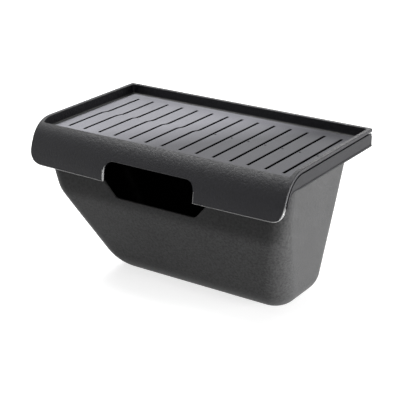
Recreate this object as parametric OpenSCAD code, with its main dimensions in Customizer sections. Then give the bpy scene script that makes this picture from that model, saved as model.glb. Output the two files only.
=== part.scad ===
// Drop-in waste bin: a tapered moulded tub under a hinged tray lid with a
// hand slot. Millimetres, +Z up. The origin is the centre of the footprint,
// on the surface that the bin stands on. The front faces -Y.

/* [Lid] */
// Width of the lid over its rims
lid_w = 300; // [260:1:360]
// Depth of the lid from the apron's face to the rear rim
lid_d = 177.6; // [165:0.1:230]
// Thickness of the lid's lip and apron
lip_t = 3.2; // [2.4:0.1:4]
// Width of the rim around the tray
rim_w = 4.7; // [4.3:0.1:8]
// Thickness of the tray's upright walls
tray_wall = 2.2; // [1.6:0.1:2.6]
// Height of the rim over the top of the mat
tray_drop = 10.1; // [6:0.1:12]
// Drop of the apron from the rim's top to its lower edge
apron_drop = 44.1; // [38:0.1:60]
// Distance from the apron's face back to where the rims begin to curve down
nose_len = 33.5; // [28:0.1:45]
// How far the middle of the apron's edge bows forward of its ends
apron_bow = 2; // [0:0.1:4]
// Radius of the apron's lower corners
apron_r = 14; // [4:1:20]
// Radius of the lid's rear corners in plan
plan_r = 5; // [2:0.5:10]
// Radius of the tray's inner corners in plan
tray_r = 3; // [1:0.5:6]
// Distance of the outer stiffening ribs from the lid's ends
rib_inset = 25; // [20:1:35]
// Distance of the ribs' front ends from the tray's front
rib_front = 28.2; // [20:0.1:40]
// Height of the stiffening ribs under the tray
lid_rib_h = 1.6; // [0.8:0.1:1.8]

/* [Hand slot] */
// Width of the slot in the apron
slot_w = 106; // [80:1:130]
// Height of the slot above the apron's lower edge
slot_h = 21.7; // [15:0.1:26]
// Radius of the slot's upper corners
slot_r = 10; // [4:0.5:14]
// Sideways place of the slot in the apron
slot_x = -1; // [-10:0.5:10]
// Width of the tub's matching notch along its lower edge
notch_w = 90; // [70:1:110]
// Depth of the notch's lower edge below the rim's top
notch_drop = 66.8; // [60:0.1:72]
// Sideways lean of the notch's sides for each millimetre of height
notch_lean = 0.85; // [0.3:0.05:1]
// Radius of the notch's lower corners
notch_r = 8; // [3:0.5:10]
// Sideways place of the notch
notch_x = -5; // [-10:0.5:10]

/* [Mat] */
// Thickness of the ribbed mat
mat_t = 0.9; // [0.6:0.1:1.5]
// Gap from the mat's edge to the tray's walls
mat_gap = 3.6; // [1:0.1:6]
// Number of grooves across the mat
groove_n = 14; // [8:1:16]
// Distance from the mat's ends to the middle of its outermost grooves
groove_margin = 14.95; // [10:0.05:30]
// Width of a groove
groove_w = 3; // [1:0.1:4]
// Distance from the tray's front to the front end of the grooves
groove_start = 20; // [12:0.1:40]
// Distance from the grooves' rear ends to the lid's rear edge
groove_end = 21; // [12:0.1:60]
// Sideways step at the middle of each groove in the mat's left half
groove_jog = 3.2; // [0:0.1:5]
// Radius of the drain dimple beside each groove in the mat's right half
dimple_r = 0.8; // [0.4:0.1:1.5]

/* [Tub] */
// Height from the tub's base to the lid's rim
tub_h = 164.8; // [150:0.1:200]
// Thickness of the tub's walls
tub_wall = 2.5; // [2:0.1:3.5]
// Inset of the tub's side walls from the lid's edge at the top
tub_inset_top = 3.6; // [3:0.1:8]
// Distance from the apron's face to the tub's front wall at the top
tub_front_top = 12.6; // [12:0.1:20]
// Distance from the tub's rear wall at the top to the lid's rear edge
tub_rear_top = 41; // [30:0.5:44]
// Depth of the soft bend in the walls below the rim's top
knee_drop = 74.4; // [70:0.1:90]
// Inset of the left wall at the bend
knee_left = 13.7; // [8:0.1:25]
// Inset of the right wall at the bend
knee_right = 10; // [6:0.1:20]
// Distance from the apron's face to the front wall at the bend
knee_front = 17.5; // [14:0.1:25]
// Distance from the rear wall at the bend to the lid's rear edge
knee_rear = 45.6; // [35:0.1:60]
// Inset of the left wall's foot
foot_left = 65; // [40:1:80]
// Inset of the right wall's foot
foot_right = 24.7; // [15:0.1:40]
// Distance from the apron's face to the front wall's foot
foot_front = 50.6; // [35:0.1:60]
// Distance from the rear wall's foot to the lid's rear edge
foot_rear = 45; // [35:0.5:60]
// Radius of the upright corners at the top
corner_r_top = 14.3; // [8:0.1:25]
// Radius of the upright corners at the foot
corner_r_foot = 26; // [24:0.1:34]
// Radius between the walls and the base
base_r = 23; // [15:0.5:23]
// Depth of the tub's rear mounting flange
flange_d = 24; // [18:1:28]
// Radius of a screw boss
boss_r = 3.6; // [3:0.1:5]
// Distance of the outer rear screws from the lid's ends
screw_inset = 50; // [35:1:80]
// Distance of the rear screws from the lid's rear edge
screw_rear = 27; // [22:0.5:30]
// Length of a screw boss below the frame
boss_h = 12; // [9:0.5:16]

/* [Frame] */
// Depth of the skirt's ledge below the rim's top
skirt_drop = 16.2; // [15.5:0.1:22]
// Thickness of the skirt
skirt_t = 2.2; // [1.6:0.1:2.4]
// Shadow gap between the lid's lip and the skirt
lip_gap = 1.1; // [0.6:0.1:2]
// Thickness of the frame's deck
deck_t = 2; // [1.6:0.1:3]
// How far the ledge stands out from the skirt
ledge_out = 0.7; // [0.3:0.1:1.5]
// Width of the skirt's tail beside the lip's end
tail_w = 3; // [2:0.1:4]
// Width of the deck from the lid's edge to the mouth, at the sides
side_deck = 13.5; // [12:0.5:20]
// Width of the deck in front of the mouth
front_deck = 20.9; // [16:0.1:26]
// Distance from the frame's mouth to the lid's rear edge
rear_deck = 48; // [45:0.5:55]
// Radius of the mouth's corners
mouth_r = 10; // [5:0.5:20]
// Depth of the collar that locates the frame in the tub
collar_h = 4; // [2:0.5:4.5]
// Thickness of the collar
collar_t = 1.8; // [1.2:0.1:2.5]
// Clearance between parts that drop into each other
fit_gap = 0.3; // [0.2:0.05:0.5]

/* [Bag ring] */
// Width of the ring's flange
ring_w = 6; // [4.5:0.5:7]
// Thickness of the ring
ring_t = 1.8; // [1.2:0.1:2]
// Height of the ring's skirt below its seat
ring_skirt = 6; // [3:0.5:6]

/* [Hinge] */
// Distance of the hinge's axis behind the lid
hinge_back = 4.5; // [4.4:0.1:8]
// Depth of the hinge's axis below the rim's top
hinge_drop = 8; // [7.8:0.1:9]
// Radius of the hinge pins
pin_r = 2; // [1.5:0.1:2.2]
// Radius of the hinge knuckles
knuckle_r = 3.8; // [3.6:0.1:4]
// Distance of each hinge from the lid's end
hinge_inset = 55; // [35:1:90]
// Width of the lid's knuckle
lid_knuckle_w = 16; // [10:1:24]
// Width of each of the frame's knuckles
frame_knuckle_w = 8; // [6:1:14]
// Side clearance between knuckles
knuckle_gap = 0.4; // [0.3:0.1:1]
// Radial clearance of the pins in the knuckles
pin_fit = 0.05; // [0.02:0.01:0.1]
// Radius of the pin's head and of its push-on clip
pin_head_r = 3.3; // [2.8:0.1:3.6]
// Thickness of the pin's head and of its push-on clip
pin_head_t = 1.3; // [1:0.1:2]

/* [Fasteners and rubber] */
// Radius of the screw threads
screw_r = 1.6; // [1.2:0.1:2]
// Radius of the screw heads
screw_head_r = 2.9; // [2.4:0.1:3.2]
// Height of the screw heads
screw_head_t = 1.4; // [1:0.1:1.6]
// Length of the screws below the deck's top
screw_len = 11; // [8:0.5:13]
// Radial clearance of the screws in the deck's holes
screw_gap = 0.3; // [0.2:0.05:0.5]
// Radius of the lid's rubber buffers
buffer_r = 2.4; // [2:0.1:2.6]
// Distance of the front buffers from the apron's face
buffer_front = 44; // [40:1:60]
// Distance of the rear buffers in front of the mouth's rear
buffer_rear = 20; // [15:1:40]
// Radius of the pads under the base
pad_r = 7; // [5:0.5:8]
// Height that the pads stand out of the base
pad_stand = 1; // [0.6:0.1:2]
// Depth of the pads' seats in the base
pad_seat = 0.8; // [0.5:0.1:1]

/* [Hidden] */

shell_black = [0.16, 0.16, 0.17];
tub_black = [0.24, 0.24, 0.25];
mat_grey = [0.45, 0.45, 0.47];
steel = [0.72, 0.73, 0.75];
rubber_black = [0.08, 0.08, 0.08];

arc_steps = 8;                 // flat steps in a quarter turn of a lofted corner
nose_steps = 16;               // flat steps along the apron's profile
overcut = 1;                   // how far a cut runs past the faces that it opens
crest_t = 0.25;                // where on the rim's curve the tray's front wall ends

apron_gap = 1.3;               // room between the apron and the parts behind it

half_w = lid_w / 2;
tray_floor = tray_drop + mat_t;             // depth of the tray's bare floor
lid_under = tray_floor + lip_t - mat_t;     // depth of the tray's underside
rim_curve = [[nose_len, 0], [nose_len * 0.33, 0],
             [0, -apron_drop * 0.46], [0, -apron_drop]];
rim_front = nose_len + 1.5;                 // where the flat rims meet the apron
tray_front = bezier(rim_curve, crest_t)[0]; // the tray's front wall, behind the apron
mat_inset = rim_w + mat_gap;                // the mat's edge from the lid's edge
groove_pitch = (lid_w - 2 * mat_inset - 2 * groove_margin) / (groove_n - 1);
groove_front = tray_front + groove_start;
groove_len = lid_d - groove_end - groove_front;
axis_y = lid_d + hinge_back;
hinge_x = half_w - hinge_inset;
tub_rear_y = lid_d - tub_rear_top;          // the tub's rear wall at its top
bow_reach = apron_bow * (1 - pow((slot_w / 2 - abs(slot_x)) / half_w, 2));
y_mid = (axis_y + knuckle_r - bow_reach) / 2;
deck_under = skirt_drop + deck_t;
deck_front = tub_front_top + fit_gap;       // the deck rests on the tub's front wall
mouth_front = deck_front + front_deck;
mouth_rear = lid_d - rear_deck;
mouth_half = half_w - side_deck;
notch_back = 10;                            // the notch's cut ends this far before the foot
flange_t = 2.5;
flange_inset = 25;                          // the flange's ends from the lid's ends
collar_open = 15;                           // how far the collar stops short of the front
edge_r = 0.6;                               // small rounding on turned heads

// Puts a piece drawn from the apron's face and the rim's top into the frame.
module place() { translate([0, -y_mid, tub_h + pad_stand]) children(); }

// ---- plan outlines ----

// A rectangle from [x0, y0] to [x1, y1] with rounded corners.
module round_rect(x0, y0, x1, y1, r) {
    translate([x0 + r, y0]) square([x1 - x0 - 2 * r, y1 - y0]);
    translate([x0, y0 + r]) square([x1 - x0, y1 - y0 - 2 * r]);
    for (x = [x0 + r, x1 - r], y = [y0 + r, y1 - r])
        translate([x, y]) circle(r = r, $fn = 48);
}

// The lid's plan, drawn in by a margin, with its front end square.
module lid_plan(inset = 0, front = rim_front) {
    r = max(plan_r - inset, 1);
    difference() {
        round_rect(-half_w + inset, front - 2 * r, half_w - inset, lid_d - inset, r);
        translate([-lid_w, front - 4 * r]) square([2 * lid_w, 4 * r]);
    }
}

// The frame's mouth, drawn in by a margin.
module mouth_plan(inset = 0) {
    round_rect(-mouth_half + inset, mouth_front + inset, mouth_half - inset,
               mouth_rear - inset, max(mouth_r - inset, 2));
}

// ---- the apron's profile, as [y, z] points for t from 0 at the top to 1 ----

function bezier(p, t) = pow(1 - t, 3) * p[0] + 3 * pow(1 - t, 2) * t * p[1]
    + 3 * (1 - t) * t * t * p[2] + pow(t, 3) * p[3];
function bezier_slope(p, t) = 3 * (pow(1 - t, 2) * (p[1] - p[0])
    + 2 * (1 - t) * t * (p[2] - p[1]) + t * t * (p[3] - p[2]));

function unit(v) = v / norm(v);
function bow_at(x, t) = apron_bow * t * (1 - pow(x / half_w, 2));

// A point of the apron at x and t, set in from its face by a depth.
function apron_point(x, t, depth) = let (p = rim_line(t, depth)) [x, p[0] - bow_at(x, t), p[1]];

// A point of the rim's curve, set in from its face by a depth.
function rim_line(t, depth) = let (p = bezier(rim_curve, t), d = unit(bezier_slope(rim_curve, t)))
    p + depth * [-d[1], d[0]];
function rim_lines(t_end, depth) = [for (j = [0:nose_steps]) rim_line(t_end * j / nose_steps, depth)];

// The area in front of a curve a little behind the apron, seen from the side.
module apron_room() {
    line = rim_lines(1, lip_t + apron_gap);
    polygon(concat([[nose_len + 6, overcut]], [[nose_len + 6, line[0][1]]], line,
                   [[-lid_d / 4, -apron_drop - overcut], [-lid_d / 4, overcut]]));
}

// One line of the apron from the flat rims' front end to the lower edge.
function apron_line(x, depth) = concat([[x, rim_front, -depth]],
    [for (j = [0:nose_steps]) apron_point(x, j / nose_steps, depth)]);

// Places across the lid where the apron is worked out, from left to right.
apron_x = [for (k = [-4:4]) half_w * k / 4];

// ---- lofted solids ----

// Triangles between two rows of n points each that start at a and b.
function strip(a, b, n) = [for (i = [0:n - 2], s = [0, 1])
    s == 0 ? [a + i, b + i, b + i + 1] : [a + i, b + i + 1, a + i + 1]];
// The same, closed from the last point to the first.
function belt(a, b, n) = [for (i = [0:n - 1], s = [0, 1]) let (j = (i + 1) % n)
    s == 0 ? [a + i, b + i, b + j] : [a + i, b + j, a + j]];

// A curved plate: rows of points on its face, and as many on its back.
module plate(face, back) {
    rows = len(face);
    n = len(face[0]);
    m = rows * n;
    points = concat([for (r = face) each r], [for (r = back) each r]);
    faces = concat(
        [for (k = [0:rows - 2]) each strip(k * n, (k + 1) * n, n)],
        [for (k = [0:rows - 2]) each strip(m + (k + 1) * n, m + k * n, n)],
        strip(m, 0, n),
        strip((rows - 1) * n, m + (rows - 1) * n, n),
        [for (k = [0:rows - 2], s = [0, 1]) let (a = k * n, b = (k + 1) * n)
            s == 0 ? [a, m + a, m + b] : [a, m + b, b]],
        [for (k = [0:rows - 2], s = [0, 1]) let (a = k * n + n - 1, b = a + n)
            s == 0 ? [a, b, m + b] : [a, m + b, m + a]]);
    polyhedron(points = points, faces = faces);
}

// A vessel: closed rings down its outside, then closed rings up its inside.
module vessel(outer, inner) {
    n = len(outer[0]);
    rings = concat(outer, inner);
    last = len(outer) - 1;
    faces = concat(
        [for (k = [0:len(rings) - 2]) if (k != last) each belt((k + 1) * n, k * n, n)],
        belt(0, (len(rings) - 1) * n, n),
        [[for (i = [n - 1:-1:0]) last * n + i]],
        [[for (i = [0:n - 1]) (last + 1) * n + i]]);
    polyhedron(points = [for (r = rings) each r], faces = faces);
}

// ---- the tub's section at a depth below the rim's top ----

// Each station holds the left, right, front and rear walls and the corner's radius.
top_station = [-half_w + tub_inset_top, half_w - tub_inset_top, tub_front_top, tub_rear_y,
               corner_r_top];
knee_station = [-half_w + knee_left, half_w - knee_right, knee_front, lid_d - knee_rear,
                corner_r_top + (corner_r_foot - corner_r_top) * 0.4];
foot_station = [-half_w + foot_left, half_w - foot_right, foot_front, lid_d - foot_rear,
                corner_r_foot];
function mix(a, b, s) = a * (1 - s) + b * s;
function section_at(depth) = depth <= knee_drop
    ? mix(top_station, knee_station, (depth - deck_under) / (knee_drop - deck_under))
    : mix(knee_station, foot_station, (depth - knee_drop) / (tub_h - knee_drop));

// The ring of the tub at a depth, drawn in by an inset.
function tub_ring(depth, inset) = let (s = section_at(depth), r = s[4] - inset,
    xs = [s[1] - s[4], s[0] + s[4], s[0] + s[4], s[1] - s[4]],
    ys = [s[3] - s[4], s[3] - s[4], s[2] + s[4], s[2] + s[4]])
    [for (q = [0:3], i = [0:arc_steps]) let (a = 90 * (q + i / arc_steps))
        [xs[q] + r * cos(a), ys[q] + r * sin(a), -depth]];

// Rings from the top to the base, for the outside (skin 0) or the inside.
base_edge = tub_h - base_r;
function tub_rings(skin) = concat(
    [for (f = [0, 0.2, 0.6, 0.9]) tub_ring(deck_under + f * (knee_drop - deck_under), skin)],
    [for (f = [0, 0.1, 0.4, 0.7, 1]) tub_ring(knee_drop + f * (base_edge - knee_drop), skin)],
    [for (i = [1:arc_steps]) let (a = 90 * i / arc_steps, r = base_r - skin)
        [for (p = tub_ring(base_edge + r * sin(a), skin + r * (1 - cos(a)))) p]]);
function backwards(v) = [for (i = [len(v) - 1:-1:0]) v[i]];

// ---- shared places ----

rear_screw_y = lid_d - screw_rear;
rear_screw_x = half_w - screw_inset;
corner_screw_x = half_w - tub_inset_top - tub_wall - 2.4;
corner_screw_y = mouth_front - 4;
screw_spots = concat([for (x = [-rear_screw_x, 0, rear_screw_x]) [x, rear_screw_y]],
                     [for (x = [-corner_screw_x, corner_screw_x]) [x, corner_screw_y]]);
buffer_x = half_w - skirt_t - fit_gap - buffer_r - 0.8;
buffer_spots = [for (x = [-buffer_x, buffer_x], y = [buffer_front, mouth_rear - buffer_rear])
                    [x, y]];
pad_x = [foot_station[0] + base_r + pad_r + 4, foot_station[1] - base_r - pad_r - 4];
pad_y = [foot_front + base_r + pad_r + 1, foot_station[3] - base_r - pad_r - 1];
pad_spots = [for (x = pad_x, y = pad_y) [x, y]];

// A rod along +X from x0 to x1 on the hinge's axis.
module hinge_rod(x0, x1, r) {
    translate([x0, axis_y, -hinge_drop]) rotate([0, 90, 0]) cylinder(r = r, h = x1 - x0, $fn = 64);
}

// ---- sub-parts ----

module tub() {
    color(tub_black) place() difference() {
        union() {
            vessel(tub_rings(0), backwards(tub_rings(tub_wall)));
            rear_flange();
            for (p = screw_spots) screw_boss(p);
        }
        hand_notch();
        translate([-half_w, 0, 0]) rotate([90, 0, 90]) linear_extrude(lid_w) apron_room();
        for (p = screw_spots) translate([p[0], p[1], -deck_under - screw_len])
            cylinder(r = screw_r + pin_fit, h = screw_len + overcut, $fn = 32);
        for (p = pad_spots) translate([p[0], p[1], -tub_h - overcut])
            cylinder(r = pad_r + fit_gap, h = pad_seat + overcut, $fn = 48);
    }
}

// The flange behind the tub's rear wall that carries the frame's deck.
module rear_flange() {
    translate([0, 0, -deck_under - flange_t]) linear_extrude(flange_t)
        round_rect(-half_w + flange_inset, tub_rear_y - tub_wall, half_w - flange_inset,
                   tub_rear_y + flange_d, 6);
}

module screw_boss(p) {
    translate([p[0], p[1], -deck_under - boss_h]) cylinder(r = boss_r, h = boss_h, $fn = 48);
}

// The notch in the front wall, wider towards its top, with round lower corners.
module hand_notch() {
    rise = notch_drop - deck_under + overcut;
    half = notch_w / 2 + notch_r * 0.4;
    translate([notch_x, foot_front - notch_back, -notch_drop]) rotate([90, 0, 0])
        linear_extrude(foot_front) offset(r = notch_r, $fn = 48) offset(delta = -notch_r)
            polygon([[-half, 0], [half, 0], [half + rise * notch_lean, rise],
                     [-half - rise * notch_lean, rise]]);
}

module rim_frame() {
    color(shell_black) place() {
        difference() {
            union() {
                deck();
                skirts();
                hinge_wall();
                collar();
            }
            for (p = screw_spots) translate([p[0], p[1], -deck_under - overcut])
                cylinder(r = screw_r + screw_gap, h = deck_t + 2 * overcut, $fn = 32);
            for (s = [-1, 1]) translate([s * hinge_x, 0, 0])
                hinge_rod(-lid_w / 4, lid_w / 4, pin_r + pin_fit);
        }
    }
}

// The deck around the mouth, with the ledge that stands out below the skirt.
module deck() {
    translate([0, 0, -deck_under]) linear_extrude(deck_t) difference() {
        union() {
            lid_plan(front = deck_front);
            for (s = [-1, 1]) translate([s > 0 ? half_w - skirt_t : -half_w - ledge_out, skirt_front])
                square([skirt_t + ledge_out, lid_d - skirt_front - plan_r]);
        }
        mouth_plan();
    }
}

// The front end of the ledge, where it meets the lip's shadow gap.
skirt_front = rim_line(0.53, lip_t + lip_gap)[0];

// The area behind the lip's shadow gap down to a t, seen from the side.
module side_area(t_end) {
    polygon(concat([[lid_d, -lip_t - lip_gap]],
                   rim_lines(t_end, lip_t + lip_gap),
                   [[lid_d, rim_line(t_end, lip_t + lip_gap)[1]]]));
}

// The narrow tail of the skirt that follows the lip's end down beside the tub.
module skirt_tail() {
    times = [for (j = [0:nose_steps]) 0.4 + 0.4 * j / nose_steps];
    polygon(concat([for (t = times) rim_line(t, lip_t + lip_gap)],
                   [for (j = [nose_steps:-1:0]) rim_line(times[j], lip_t + lip_gap
                        + tail_w * min(1, 0.25 + (nose_steps - j) / nose_steps))]));
}

module skirts() {
    for (s = [-1, 1]) intersection() {
        translate([s > 0 ? half_w - skirt_t : -half_w, 0, 0]) rotate([90, 0, 90])
            linear_extrude(skirt_t) union() {
                intersection() {
                    side_area(0.6);
                    translate([0, -deck_under]) square([lid_d, deck_under]);
                }
                skirt_tail();
            }
        translate([0, 0, -apron_drop]) linear_extrude(apron_drop) lid_plan(front = 0);
    }
}

// The low rear wall and the frame's knuckles, two to each hinge.
module hinge_wall() {
    wall_top = hinge_drop - 1;
    translate([-half_w + plan_r, lid_d - skirt_t, -deck_under])
        cube([lid_w - 2 * plan_r, skirt_t, deck_under - wall_top]);
    for (s = [-1, 1], e = [-1, 1]) {
        gap = lid_knuckle_w / 2 + knuckle_gap;
        x = s * hinge_x + (e > 0 ? gap : -gap - frame_knuckle_w);
        hinge_rod(x, x + frame_knuckle_w, knuckle_r);
        translate([x, lid_d - skirt_t, -hinge_drop - knuckle_r])
            cube([frame_knuckle_w, hinge_back + skirt_t, knuckle_r]);
    }
}

// The collar inside the tub's sides and rear, open behind the hand slot.
module collar() {
    reach = tub_inset_top + tub_wall + 1.2;
    rear = tub_rear_y - tub_wall - 1.2;
    translate([0, 0, -deck_under - collar_h]) linear_extrude(collar_h + overcut) difference() {
        round_rect(-half_w + reach, mouth_front, half_w - reach, rear, mouth_r);
        round_rect(-half_w + reach + collar_t, mouth_front - mouth_r, half_w - reach - collar_t,
                   rear - collar_t, mouth_r - collar_t);
        translate([-half_w, mouth_front - overcut]) square([lid_w, collar_open]);
    }
}

module frame_screws() {
    color(steel) place() for (p = screw_spots) translate([p[0], p[1], -skirt_drop]) {
        translate([0, 0, -screw_len]) cylinder(r = screw_r, h = screw_len + edge_r, $fn = 32);
        rotate_extrude($fn = 48) polygon([[0, 0], [screw_head_r, 0],
            [screw_head_r, screw_head_t - edge_r], [screw_head_r - edge_r, screw_head_t],
            [1, screw_head_t], [0.6, screw_head_t - edge_r], [0, screw_head_t - edge_r]]);
    }
}

// A flat ring on the deck with a skirt down into the mouth.
module bag_ring() {
    color(shell_black) place() {
        translate([0, 0, -skirt_drop]) linear_extrude(ring_t) difference() {
            mouth_plan(-ring_w + ring_t + fit_gap);
            mouth_plan(fit_gap + ring_t);
        }
        translate([0, 0, -skirt_drop - ring_skirt]) linear_extrude(ring_skirt + ring_t)
            difference() {
                mouth_plan(fit_gap);
                mouth_plan(fit_gap + ring_t);
            }
    }
}

module lid_shell() {
    color(shell_black) place() {
        difference() {
            union() {
                plate([for (x = apron_x) apron_line(x, 0)], [for (x = apron_x) apron_line(x, lip_t)]);
                translate([0, 0, -lip_t]) linear_extrude(lip_t) lid_plan();
                tray_block();
                tray_ribs();
                lid_knuckles();
            }
            tray_pocket();
            for (s = [-1, 1]) apron_corner(s);
            apron_slot();
            for (s = [-1, 1]) translate([s * hinge_x, 0, 0])
                hinge_rod(-lid_knuckle_w, lid_knuckle_w, pin_r + pin_fit);
        }
    }
}

// The tray's walls and floor as one block under the lip, before the pocket is cut.
module tray_block() {
    inset = rim_w - tray_wall;
    intersection() {
        translate([0, 0, -lid_under]) linear_extrude(lid_under)
            round_rect(-half_w + inset, tray_front - tray_wall, half_w - inset, lid_d - inset,
                       tray_r + tray_wall);
        translate([-half_w, 0, 0]) rotate([90, 0, 90]) linear_extrude(lid_w)
            polygon(concat([[lid_d, -lip_t / 2]], rim_lines(1, lip_t / 2), [[lid_d, -apron_drop]]));
    }
}

// The room inside the tray, open at the top.
module tray_pocket() {
    translate([0, 0, -tray_floor]) linear_extrude(tray_floor + overcut)
        round_rect(-half_w + rim_w, tray_front, half_w - rim_w, lid_d - rim_w, tray_r);
}

// The stiffening ribs under the tray, from front to rear.
module tray_ribs() {
    rib_rear = mouth_rear - ring_w - 4;
    rib_outer = half_w - rib_inset;
    for (x = [-rib_outer, -half_w / 3, half_w / 3, rib_outer])
        translate([x - tray_wall / 2, tray_front + rib_front, -lid_under - lid_rib_h])
            cube([tray_wall, rib_rear - tray_front - rib_front, lid_rib_h + tray_wall / 2]);
}

// One knuckle on each hinge, carried by an arm under the rear lip.
module lid_knuckles() {
    for (s = [-1, 1]) {
        x = s * hinge_x - lid_knuckle_w / 2;
        hinge_rod(x, x + lid_knuckle_w, knuckle_r);
        translate([x, lid_d - rim_w + tray_wall / 2, -lip_t - 3])
            cube([lid_knuckle_w, hinge_back + rim_w - tray_wall / 2, 3]);
    }
}

// What is cut away to round one lower corner of the apron.
module apron_corner(s) {
    translate([s * half_w, nose_len / 2, -apron_drop]) rotate([90, 0, 0])
        linear_extrude(nose_len) difference() {
            translate([s > 0 ? -apron_r : -overcut, -overcut])
                square([apron_r + overcut, apron_r + overcut]);
            translate([-s * apron_r, apron_r]) circle(r = apron_r, $fn = 64);
        }
}

// The slot: open at the apron's lower edge, with round upper corners.
module apron_slot() {
    translate([slot_x, nose_len / 2, -apron_drop]) rotate([90, 0, 0]) linear_extrude(nose_len)
        round_rect(-slot_w / 2, -2 * slot_r, slot_w / 2, slot_h, slot_r);
}

module tray_mat() {
    color(mat_grey) place() translate([0, 0, -tray_floor]) linear_extrude(mat_t) difference() {
        round_rect(-half_w + mat_inset, tray_front + mat_gap, half_w - mat_inset,
                   lid_d - mat_inset, 3);
        for (i = [0:groove_n - 1]) translate([(i - (groove_n - 1) / 2) * groove_pitch, groove_front])
            if (i < groove_n / 2) jogged_groove(); else straight_groove();
    }
}

// A groove whose rear half steps to the right of its front half.
module jogged_groove() {
    half = groove_len / 2;
    translate([-groove_jog / 2, 0]) groove_run(half);
    translate([groove_jog / 2, half]) groove_run(half);
    polygon([[-groove_jog / 2 - groove_w / 2, half - groove_w], [-groove_jog / 2 + groove_w / 2, half - groove_w],
             [groove_jog / 2 + groove_w / 2, half + groove_w], [groove_jog / 2 - groove_w / 2, half + groove_w]]);
}

// A straight groove with a small dimple beside its middle.
module straight_groove() {
    groove_run(groove_len);
    translate([groove_w / 2 + 3 * dimple_r, groove_len / 2]) circle(r = dimple_r, $fn = 24);
}

// A narrow slot of a given length with round ends.
module groove_run(length) {
    translate([-groove_w / 2, groove_w / 2]) square([groove_w, length - groove_w]);
    for (y = [groove_w / 2, length - groove_w / 2]) translate([0, y]) circle(r = groove_w / 2, $fn = 16);
}

// A pin with a round head at its outer end; the clip goes on its inner end.
module hinge_pin(s) {
    reach = lid_knuckle_w / 2 + knuckle_gap + frame_knuckle_w + knuckle_gap / 2;
    tail = reach + pin_head_t + edge_r;
    color(steel) place() translate([s * hinge_x, 0, 0]) {
        hinge_rod(s > 0 ? -tail : -reach, s > 0 ? reach : tail, pin_r);
        hinge_rod(s > 0 ? reach : -reach - pin_head_t, s > 0 ? reach + pin_head_t : -reach, pin_head_r);
    }
}

module pin_clip(s) {
    reach = lid_knuckle_w / 2 + knuckle_gap + frame_knuckle_w + knuckle_gap / 2;
    color(steel) place() translate([s * hinge_x, 0, 0]) difference() {
        hinge_rod(s > 0 ? -reach - pin_head_t : reach, s > 0 ? -reach : reach + pin_head_t, pin_head_r);
        hinge_rod(-2 * reach, 2 * reach, pin_r + pin_fit / 2);
    }
}

module hinge_pin_left() { hinge_pin(-1); }
module hinge_pin_right() { hinge_pin(1); }
module pin_clip_left() { pin_clip(-1); }
module pin_clip_right() { pin_clip(1); }

module lid_buffers() {
    color(rubber_black) place() for (p = buffer_spots) translate([p[0], p[1], -skirt_drop])
        cylinder(r = buffer_r, h = skirt_drop - lid_under - fit_gap, $fn = 48);
}

module base_pads() {
    color(rubber_black) place() for (p = pad_spots)
        translate([p[0], p[1], -tub_h - pad_stand])
            cylinder(r = pad_r, h = pad_stand + pad_seat, $fn = 48);
}

tub();
rim_frame();
frame_screws();
bag_ring();
lid_shell();
tray_mat();
hinge_pin_left();
hinge_pin_right();
pin_clip_left();
pin_clip_right();
lid_buffers();
base_pads();
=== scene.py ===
"""Looks for a drop-in waste bin: a tapered tub, its frame, and a hinged tray lid.

Shapes are worked out in millimetres in the bin's own datum: x across the lid,
y back from the foot of the apron, z up from the rim's top. A depth counts down
from there. `Datum` moves points into the shared frame, in metres.
"""
import logging
import math
from dataclasses import dataclass
from enum import Enum

import bmesh
import bpy
import numpy as np
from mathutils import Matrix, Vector


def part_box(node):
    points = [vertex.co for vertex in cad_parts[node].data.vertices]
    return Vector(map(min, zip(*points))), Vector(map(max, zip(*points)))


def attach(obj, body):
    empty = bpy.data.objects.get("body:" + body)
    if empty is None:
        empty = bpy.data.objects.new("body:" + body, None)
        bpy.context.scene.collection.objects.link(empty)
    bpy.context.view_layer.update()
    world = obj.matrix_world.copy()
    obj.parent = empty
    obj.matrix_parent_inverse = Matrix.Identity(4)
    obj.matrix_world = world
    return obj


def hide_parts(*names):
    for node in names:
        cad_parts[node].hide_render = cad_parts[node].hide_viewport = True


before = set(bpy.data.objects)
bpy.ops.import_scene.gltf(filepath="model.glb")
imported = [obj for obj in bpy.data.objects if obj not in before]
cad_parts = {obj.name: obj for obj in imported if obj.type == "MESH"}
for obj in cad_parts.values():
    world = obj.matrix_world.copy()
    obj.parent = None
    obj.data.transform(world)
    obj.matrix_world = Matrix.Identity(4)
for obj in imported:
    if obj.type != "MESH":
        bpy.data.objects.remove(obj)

LOG = logging.getLogger("waste_bin")
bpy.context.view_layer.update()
MM = 0.001
JOIN_DISTANCE = 2e-6  # metres; points nearer than this are one point
QUARTER = math.pi / 2

Colour = tuple[float, float, float]
Point = tuple[float, float, float]


class Side(Enum):
    """The two hands of the bin, seen from the front."""

    LEFT = -1
    RIGHT = 1


# --------------------------------------------------------------------------
# Datum and mesh building
# --------------------------------------------------------------------------


@dataclass(frozen=True)
class Datum:
    """Moves millimetre shapes from the bin's datum into the shared frame.

    Attributes:
        rim_z: Height of the lid's rim in the frame, in metres.
        back_y: Place of the lid's rear edge in the frame, in metres.
        lid_depth: Depth of the lid from the apron's foot, in millimetres.
        mat_to_back: From the mat's rear edge to the lid's, in millimetres.
    """

    rim_z: float
    back_y: float
    lid_depth: float = 177.6
    mat_to_back: float = 8.3

    @classmethod
    def from_frame(cls) -> "Datum":
        """Returns the datum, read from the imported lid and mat."""
        back_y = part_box("tray_mat")[1][1] + cls.mat_to_back * MM
        return cls(rim_z=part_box("lid_shell")[1][2], back_y=back_y)

    def place(self, points: np.ndarray) -> np.ndarray:
        """Returns points in metres in the shared frame.

        Args:
            points: Array of shape (..., 3) in millimetres in the datum.

        Returns:
            Array of the same shape, in metres.
        """
        moved = points * MM
        moved[..., 1] += self.back_y - self.lid_depth * MM
        moved[..., 2] += self.rim_z
        return moved


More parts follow.
